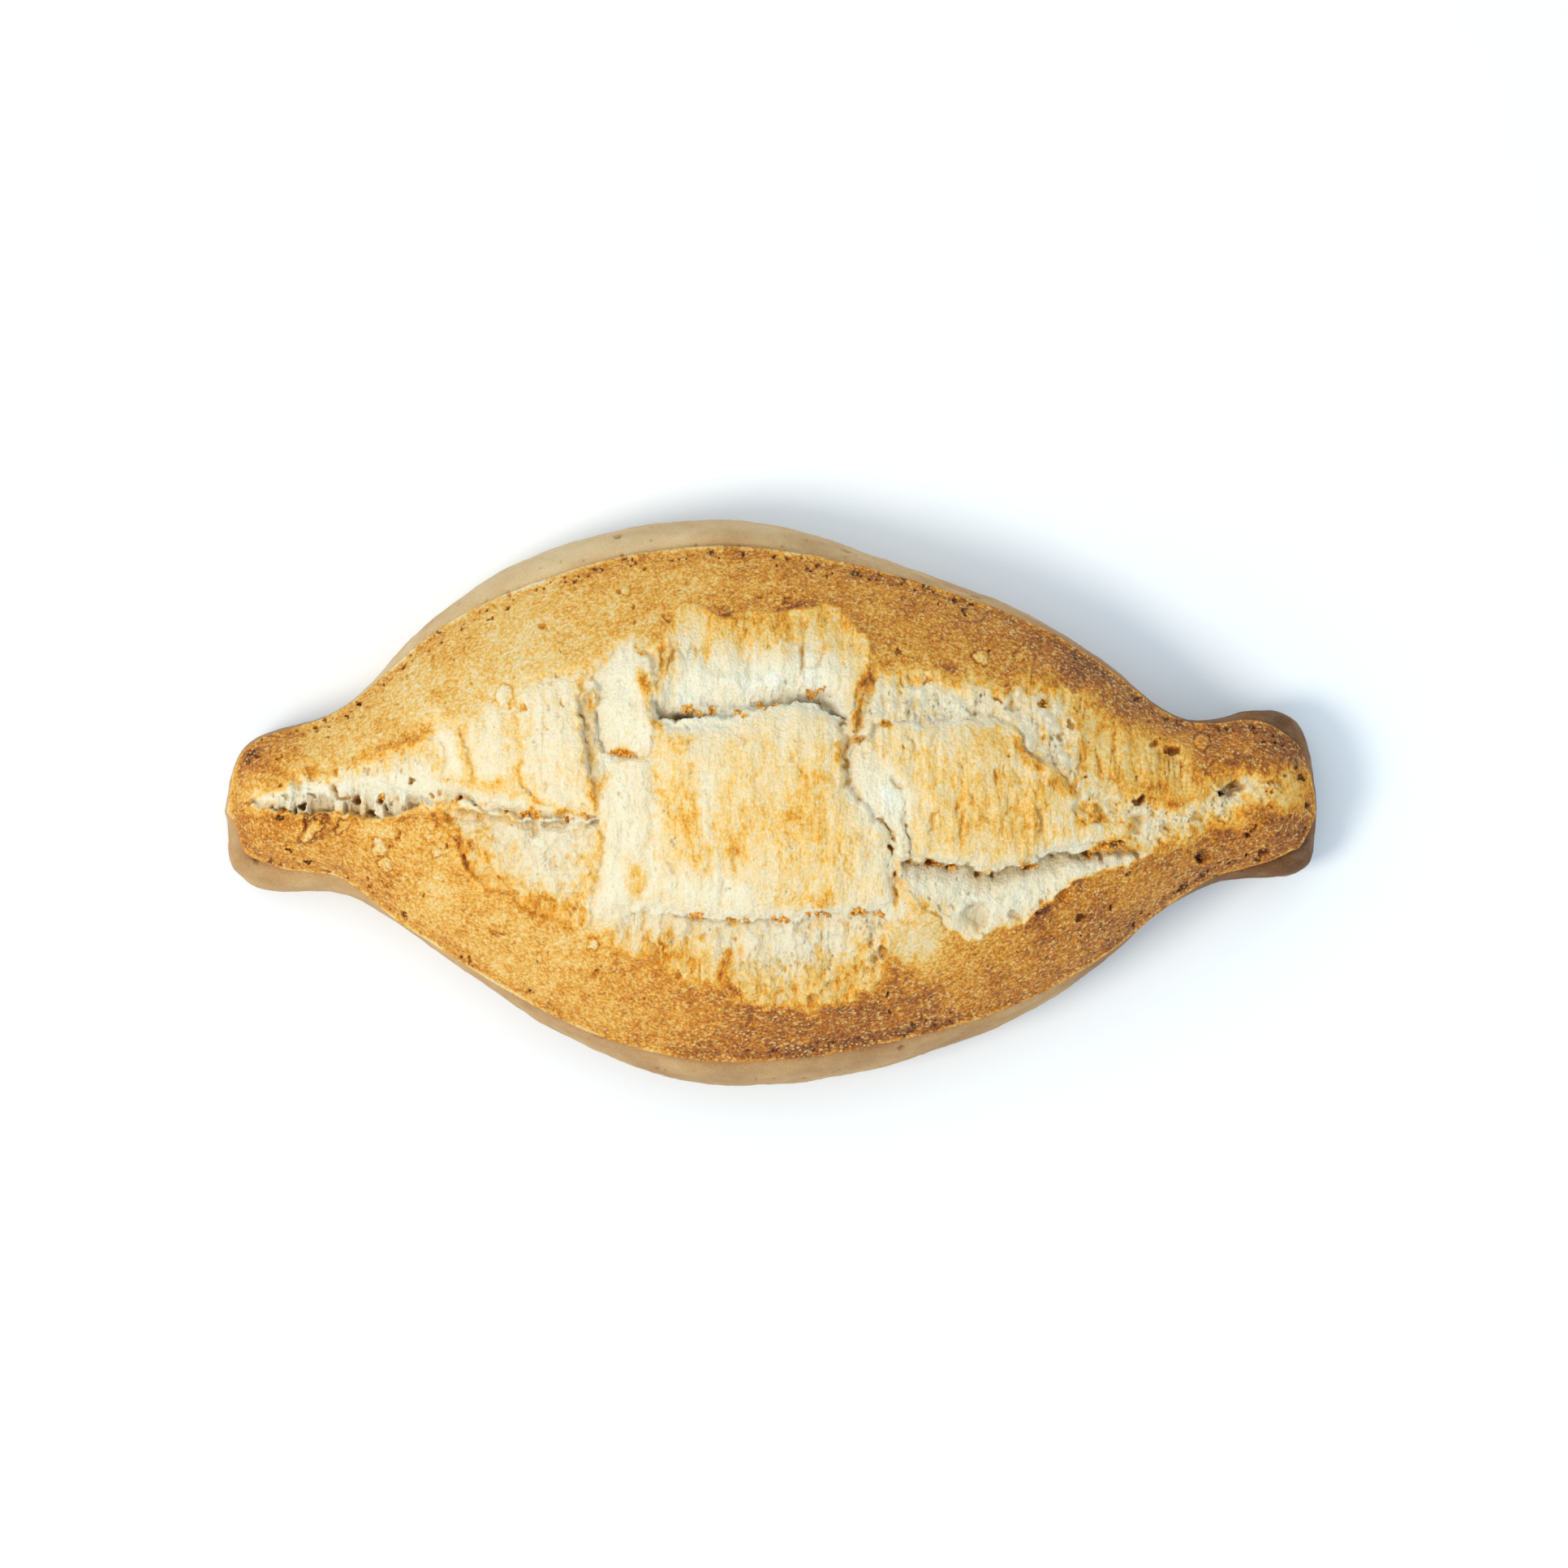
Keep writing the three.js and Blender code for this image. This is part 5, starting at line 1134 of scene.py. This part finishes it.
def lay_out_uv(mesh):
    """Flat islands: the crown from above, the skin rolled out at the back and the front, and the base."""
    corner_vertex = np.empty(len(mesh.loops), np.int32)
    mesh.loops.foreach_get("vertex_index", corner_vertex)
    totals = np.empty(len(mesh.polygons), np.int32)
    mesh.polygons.foreach_get("loop_total", totals)
    face_of_corner = np.repeat(np.arange(len(totals)), totals)

    def corners(name):
        values = np.empty(len(mesh.vertices), np.float32)
        mesh.attributes[name].data.foreach_get("value", values)
        return values[corner_vertex]

    def of_face(values):
        return (np.bincount(face_of_corner, values) / totals)[face_of_corner]

    kind, side = of_face(corners("kind")), of_face(corners("side"))
    crown, base, back = kind < 0.3, kind > 2.7, side > 0
    x, y, _ = (read(mesh)[corner_vertex] / MM).T
    rolled, deep = corners("row"), corners("down") / SKIN_DEPTH
    # Middles and sizes of the islands on the square sheet.
    crown_scale, base_scale = 0.98 / (2 * HALF_LENGTH), 0.55 / (2 * HALF_LENGTH)
    crown_x, crown_y, base_x, base_y = 0.5, 0.735, 0.29, 0.115
    skin_start, skin_length, back_top, front_top, skin_height = 0.01, 0.98, 0.47, 0.35, 0.11
    u = np.select([crown, base], [crown_x + crown_scale * x, base_x + base_scale * x],
                  skin_start + skin_length * rolled)
    v = np.select([crown, base, back],
                  [crown_y + crown_scale * y, base_y - base_scale * y, back_top - skin_height * deep],
                  front_top - skin_height * deep)
    layer = mesh.uv_layers.new(name="OFBake")
    layer.data.foreach_set("uv", np.column_stack([u, v]).astype(np.float32).ravel())


# ---------------------------------------------------------------------------------------------------
# Materials
# ---------------------------------------------------------------------------------------------------
def srgb(r, g, b):
    """A colour written 0 to 255 as it is seen, as the shader's linear colour."""
    seen = [c / 255 for c in (r, g, b)]
    return tuple(c / 12.92 if c <= 0.04045 else ((c + 0.055) / 1.055) ** 2.4 for c in seen) + (1.0,)


class Socket:
    """A number or colour in a material's node tree. Sums and products of it add the nodes they need."""

    def __init__(self, tree, link):
        self.tree = tree
        self.link = link

    def node(self, kind, settings=None, inputs=None, output=0):
        """Adds a node: its settings first, then the values or links of its inputs."""
        node = self.tree.nodes.new(kind)
        for name, value in (settings or {}).items():
            if name == "stops":
                fill_ramp(node.color_ramp, value)
            else:
                setattr(node, name, value)
        for name, value in (inputs or {}).items():
            socket = node.inputs[name]
            if isinstance(value, Socket):
                self.tree.links.new(value.link, socket)
            else:
                socket.default_value = value
        return Socket(self.tree, node.outputs[output])

    def math(self, operation, a, b=0.0, clamp=False):
        return self.node("ShaderNodeMath", {"operation": operation, "use_clamp": clamp}, {0: a, 1: b})

    def __add__(self, other):
        return self.math("ADD", self, other)

    __radd__ = __add__

    def __mul__(self, other):
        return self.math("MULTIPLY", self, other)

    __rmul__ = __mul__

    def __sub__(self, other):
        return self.math("SUBTRACT", self, other)

    def __rsub__(self, other):
        return self.math("SUBTRACT", other, self)

    def clamped(self):
        return self.math("ADD", self, 0.0, clamp=True)

    def step(self, low, high):
        """A soft step from 0 below low to 1 above high."""
        return self.node(
            "ShaderNodeMapRange", {"interpolation_type": "SMOOTHSTEP"},
            {"Value": self, "From Min": low, "From Max": high, "To Min": 0.0, "To Max": 1.0})

    def blend(self, a, b):
        """The colours a and b mixed by this share."""
        return self.node("ShaderNodeMix", {"data_type": "RGBA"}, {0: self, 6: a, 7: b}, output=2)

    def ramp(self, stops):
        """The colour at this place among the stops."""
        return self.node("ShaderNodeValToRGB", {"stops": stops}, {"Fac": self})

    def feed(self, shader, name):
        self.tree.links.new(self.link, shader.inputs[name])


def fill_ramp(ramp, stops):
    while len(ramp.elements) > 1:
        ramp.elements.remove(ramp.elements[-1])
    for index, (place, colour) in enumerate(stops):
        element = ramp.elements[0] if index == 0 else ramp.elements.new(place)
        element.position = place
        element.color = colour


def new_material(name, **values):
    """A material, its shader with these plain values, and a socket to make its nodes with."""
    material = bpy.data.materials.new(name)
    material.use_nodes = True
    shader = material.node_tree.nodes["Principled BSDF"]
    for value_name, value in values.items():
        shader.inputs[value_name.replace("_", " ")].default_value = value
    return material, shader, Socket(material.node_tree, None)


# From unbaked to darkest, in even steps.
BREAD_SHADES = [
    (247, 240, 218), (244, 232, 201), (242, 225, 190), (243, 215, 164), (243, 199, 116), (238, 175, 68),
    (224, 149, 36), (203, 122, 20), (174, 95, 12), (142, 73, 12), (104, 54, 18),
]
BREAD_COLOURS = [(step / 10, srgb(*shade)) for step, shade in enumerate(BREAD_SHADES)]
SKIN_COLOURS = [
    (0.00, srgb(234, 208, 164)),
    (0.25, srgb(218, 184, 134)),
    (0.45, srgb(196, 152, 98)),
    (0.65, srgb(160, 114, 68)),
    (0.85, srgb(125, 79, 33)),
    (1.00, srgb(92, 52, 16)),
]
CRUMB_COLOURS = [(0.3, srgb(150, 84, 16)), (0.5, srgb(222, 146, 34)), (0.7, srgb(246, 200, 100))]
DIP_SHADE_COLOUR = srgb(222, 182, 108)
FLOUR_AND_GLINT_COLOUR = srgb(241, 200, 120)
SCUFF_COLOUR = srgb(247, 210, 124)
HOLLOW_SHADE_COLOUR = srgb(176, 144, 90)
FLOUR_COLOUR = srgb(228, 206, 170)
TABLE_COLOUR = (0.95, 0.95, 0.95, 1.0)


class Patterns:
    """The bread's painted shares, and grains and cells in its own coordinates, as sockets of one tree."""

    def __init__(self, make):
        self.make = make
        self.coordinates = make.node("ShaderNodeTexCoord", output="Object")
        self.bake = self.painted("bake")
        self.torn = self.painted("torn")
        self.skin = self.painted("skin")
        self.hollow = self.painted("hollow")
        self.crust = (1.0 - self.torn) * (1.0 - self.skin)
        self.fine = self.grain(0.8, 4.0, roughness=0.68)
        self.coarse = self.grain(4.2, 3.0, shift=7.0)
        self.fibres = self.grain(0.8, 4.0, (1.0, 3.2, 1.0), shift=3.0, roughness=0.66)
        self.flecks = self.grain(1.9, 4.0, (1.0, 1.5, 1.0), shift=9.0, roughness=0.66)
        self.blotches = self.cells(1.3)
        self.dust = self.grain(0.5, 3.0, shift=5.0, roughness=0.7)

    def painted(self, name):
        return self.make.node("ShaderNodeAttribute", {"attribute_name": name}, output="Fac")

    def placed(self, stretch=(1.0, 1.0, 1.0), shift=0.0):
        """The coordinates in millimetres, stretched and shifted."""
        size = tuple(1 / (MM * s) for s in stretch)
        inputs = {"Vector": self.coordinates, "Scale": size, "Location": (shift,) * 3}
        return self.make.node("ShaderNodeMapping", {}, inputs)

    def grain(self, millimetres, detail=2.0, stretch=(1.0, 1.0, 1.0), shift=0.0, roughness=0.55):
        inputs = {"Scale": 1 / millimetres, "Detail": detail, "Roughness": roughness}
        inputs["Vector"] = self.placed(stretch, shift)
        return self.make.node("ShaderNodeTexNoise", {}, inputs, output="Fac")

    def cells(self, millimetres):
        inputs = {"Vector": self.placed(), "Scale": 1 / millimetres}
        return self.make.node("ShaderNodeTexVoronoi", {}, inputs, output="Distance")


def bread_colour(p):
    """The crust and the torn dough, by how far they are baked."""
    toasty = (p.fine - 0.5) * 2.3
    mottle = toasty.math("MINIMUM", toasty, 0.22) + (p.coarse - 0.5) * 0.7 + (p.blotches - 0.45) * 0.30 + 0.03
    streaks = (p.fibres - 0.5) * 2.0 + (p.fine - 0.5) * 1.2 + (p.coarse - 0.5) * 0.8
    swing = p.bake.math("MINIMUM", p.bake, 0.5)
    patches = p.flecks.step(0.50, 0.64) * p.bake.step(0.12, 0.26) * p.bake.step(0.75, 0.5)
    place = p.bake + swing * (p.crust * mottle + p.torn * streaks * 0.8) + patches * 0.07 - 0.01
    colour = place.ramp(BREAD_COLOURS)
    # The dips between the fibres of the torn dough are painted a little darker: painted shade.
    dips = p.fibres.step(0.46, 0.34) * p.torn * (0.25 + p.bake)
    colour = dips.clamped().blend(colour, DIP_SHADE_COLOUR)
    # Pale specks on the crust, most on its browner parts: flour, and painted glints on its blisters.
    specks = (p.cells(1.15).step(0.40, 0.24) * p.grain(2.6, 2.0, shift=11.0).step(0.44, 0.58)).clamped()
    scuffs = p.grain(1.1, 3.0, (1.6, 1.0, 1.0), shift=13.0, roughness=0.6).step(0.55, 0.68)
    colour = (specks * p.crust * p.bake.step(0.30, 0.65) * 0.80).clamped().blend(colour, FLOUR_AND_GLINT_COLOUR)
    colour = (scuffs * p.crust * 0.55).clamped().blend(colour, SCUFF_COLOUR)
    # Painted grey shade in the hollows of the torn dough.
    return (p.hollow * p.torn * (1.1 - p.flecks * 0.6)).clamped().blend(colour, HOLLOW_SHADE_COLOUR)


def skin_colour(p):
    """The side skin: brown under a fine dusting of flour."""
    place = p.bake + (p.dust - 0.5) * 0.40 + (p.coarse - 0.5) * 0.16
    flour = p.grain(7.0, 4.0, shift=15.0, roughness=0.6).step(0.48, 0.66) * p.dust.step(0.40, 0.58)
    return (flour * 0.15).clamped().blend(place.ramp(SKIN_COLOURS), FLOUR_COLOUR)


def bread_material():
    material, shader, make = new_material(
        "bread", Specular_IOR_Level=0.35, Subsurface_Weight=0.3, Subsurface_Radius=(1.0, 0.5, 0.25),
        Subsurface_Scale=1.3 * MM)
    p = Patterns(make)
    p.skin.step(0.3, 0.7).blend(bread_colour(p), skin_colour(p)).feed(shader, "Base Color")
    roughness = 0.62 + p.torn * 0.25 + p.skin * 0.14 + (p.fine - 0.5) * 0.25
    roughness.clamped().feed(shader, "Roughness")
    crust_height = p.crust * (p.fine * 1.0 + p.blotches * 0.4)
    torn_height = p.torn * (p.fibres * 0.9 + p.cells(0.9) * 0.5)
    height = crust_height + torn_height + p.skin * (p.dust * 0.45 + p.coarse * 0.3)
    bump = make.node("ShaderNodeBump", {}, {"Height": height, "Strength": 0.9, "Distance": 0.9 * MM})
    bump.feed(shader, "Normal")
    return material


def crumb_material():
    """Toasted crumbs: orange-brown, in patches."""
    material, shader, make = new_material("toasted_crumb", Roughness=0.6)
    coordinates = make.node("ShaderNodeTexCoord", output="Object")
    place = make.node("ShaderNodeMapping", {}, {"Vector": coordinates, "Scale": (1 / MM,) * 3})
    tone = make.node("ShaderNodeTexNoise", {}, {"Vector": place, "Scale": 0.9, "Detail": 3.0}, output="Fac")
    tone.ramp(CRUMB_COLOURS).feed(shader, "Base Color")
    bump = make.node("ShaderNodeBump", {}, {"Height": tone, "Strength": 0.5, "Distance": 0.3 * MM})
    bump.feed(shader, "Normal")
    return material


def floor_material():
    return new_material("pale_table", Base_Color=TABLE_COLOUR, Roughness=0.9, Specular_IOR_Level=0.0)[0]


# ---------------------------------------------------------------------------------------------------
# Pieces
# ---------------------------------------------------------------------------------------------------
def make_loaf(material):
    points, faces, place, fields = swept_body()
    loaf = make_mesh("baked_loaf", points * MM, faces, material)
    mesh = loaf.data
    normals = read(mesh, "normal")
    kind = fields["kind"]
    crown, skin = kind < 0.5, kind > 0.5
    top = bake_top(points[crown], place[crown])
    moved = points.copy()
    moved[crown] += mix(np.array([0, 0, 1.0]), normals[crown], TOP_LEAN) * top.rise[:, None]
    rise, skin_bake = bake_sides(points[skin], kind[skin], place[skin])
    moved[skin] += normals[skin] * rise[:, None]
    moved[:, 2] = np.maximum(moved[:, 2], 0)
    mesh.vertices.foreach_set("co", (moved * MM).astype(np.float32).ravel())
    fields["bake"] = np.zeros(len(points))
    fields["bake"][crown] = top.bake
    fields["bake"][skin] = skin_bake
    for name in ("torn", "hollow"):
        fields[name] = np.zeros(len(points))
        fields[name][crown] = getattr(top, name)
    fields["skin"] = skin.astype(float)
    for name, values in fields.items():
        paint(mesh, name, values)
    mesh.update()
    thin(loaf, LOAF_TRIANGLES)
    lay_out_uv(loaf.data)
    return loaf


def crumb_tree(material):
    """Geometry nodes: lumps scattered over flat patches and dropped from them onto the loaf."""
    tree = bpy.data.node_groups.new("drop_crumbs", "GeometryNodeTree")
    for name, kind in (("Patches", "Geometry"), ("Loaf", "Object"), ("Crumb Size", "Float")):
        tree.interface.new_socket(name, in_out="INPUT", socket_type="NodeSocket" + kind)
    tree.interface.new_socket("Crumbs", in_out="OUTPUT", socket_type="NodeSocketGeometry")
    make = Socket(tree, None)
    patches = make.node("NodeGroupInput", output="Patches")
    loaf = make.node("NodeGroupInput", output="Loaf")
    size = make.node("NodeGroupInput", output="Crumb Size")
    scattered = make.node(
        "GeometryNodeDistributePointsOnFaces", {},
        {"Mesh": patches, "Density": CRUMBS_PER_MM2 / MM ** 2, "Seed": 5})
    surface = make.node("GeometryNodeObjectInfo", {}, {"Object": loaf}, output="Geometry")
    landing = make.node(
        "GeometryNodeRaycast", {},
        {"Target Geometry": surface, "Ray Direction": (0, 0, -1), "Ray Length": 0.5}, output="Hit Position")
    landed = make.node("GeometryNodeSetPosition", {}, {"Geometry": scattered, "Position": landing})
    lump = make.node("GeometryNodeMeshIcoSphere", {}, {"Radius": size, "Subdivisions": 1}, output="Mesh")
    turn = make.node(
        "FunctionNodeRandomValue", {"data_type": "FLOAT_VECTOR"}, {1: (6.3, 6.3, 6.3), "Seed": 1})
    stretch = make.node(
        "FunctionNodeRandomValue", {"data_type": "FLOAT_VECTOR"},
        {0: (0.4, 0.4, 0.4), 1: (1.7, 1.0, 0.9), "Seed": 2})
    placed = make.node(
        "GeometryNodeInstanceOnPoints", {},
        {"Points": landed, "Instance": lump, "Rotation": turn, "Scale": stretch})
    lumps = make.node("GeometryNodeRealizeInstances", {}, {"Geometry": placed})
    painted = make.node("GeometryNodeSetMaterial", {}, {"Geometry": lumps, "Material": material})
    result = tree.nodes.new("NodeGroupOutput")
    tree.links.new(painted.link, result.inputs["Crumbs"])
    return tree


def make_crumbs(loaf, material):
    """Toasted crumbs lying in the crevices."""
    above = HEIGHT + CRUMB_DROP
    points = []
    for x, y, half_length, half_width in CRUMB_NESTS:
        for side_x, side_y in ((-1, -1), (1, -1), (1, 1), (-1, 1)):
            points.append((x + side_x * half_length, y + side_y * half_width, above))
    faces = np.arange(len(points)).reshape(-1, 4)
    crumbs = make_mesh("toasted_crumbs", np.array(points) * MM, faces, material)
    tree = crumb_tree(material)
    scatter = crumbs.modifiers.new("scatter", "NODES")
    scatter.node_group = tree
    values = {"Loaf": loaf, "Crumb Size": CRUMB_RADIUS * MM}
    for item in tree.interface.items_tree:
        if item.name in values:
            scatter[item.identifier] = values[item.name]
    make_plain(crumbs)
    return crumbs


def make_floor(material):
    """The pale table that the loaf rests on."""
    square = np.array([[-1, -1], [1, -1], [1, 1], [-1, 1]]) * TABLE_HALF_WIDTH
    points = np.column_stack([square, np.full(4, -TABLE_GAP * MM)])
    floor = make_mesh("table", points, np.array([[0, 1, 2, 3]]), material)


def add_area_light(name, place, size, power, colour):
    """A round light that shines at the loaf."""
    light = bpy.data.lights.new(name, "AREA")
    light.shape = "DISK"
    light.size = size
    light.energy = power
    light.color = colour
    lamp = bpy.data.objects.new(name, light)
    lamp.location = place
    lamp.rotation_euler = (-Vector(place)).to_track_quat("-Z", "Y").to_euler()
    bpy.context.scene.collection.objects.link(lamp)


def add_lights():
    for light in LIGHTS:
        add_area_light(*light)
    world = bpy.data.worlds.new("sky")
    world.use_nodes = True
    sky = world.node_tree.nodes["Background"]
    sky.inputs["Color"].default_value = SKY_COLOUR
    sky.inputs["Strength"].default_value = SKY_STRENGTH
    bpy.context.scene.world = world


def add_camera():
    """Looks straight down from far off, so that the sides of the loaf barely show."""
    camera = bpy.data.cameras.new("camera")
    camera.sensor_width = 36.0
    camera.lens = camera.sensor_width * CAMERA_DISTANCE / VIEW_WIDTH
    camera.clip_end = 20.0
    holder = bpy.data.objects.new("camera", camera)
    holder.location = (*VIEW_MIDDLE, CAMERA_DISTANCE + FOCUS_HEIGHT)
    bpy.context.scene.collection.objects.link(holder)
    bpy.context.scene.camera = holder


def main():
    add_camera()
    add_lights()
    make_floor(floor_material())
    loaf = make_loaf(bread_material())
    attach(loaf, "root")
    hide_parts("loaf")
    crumbs = make_crumbs(loaf, crumb_material())
    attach(crumbs, "root")
    bpy.context.scene.view_settings.view_transform = "Standard"


main()
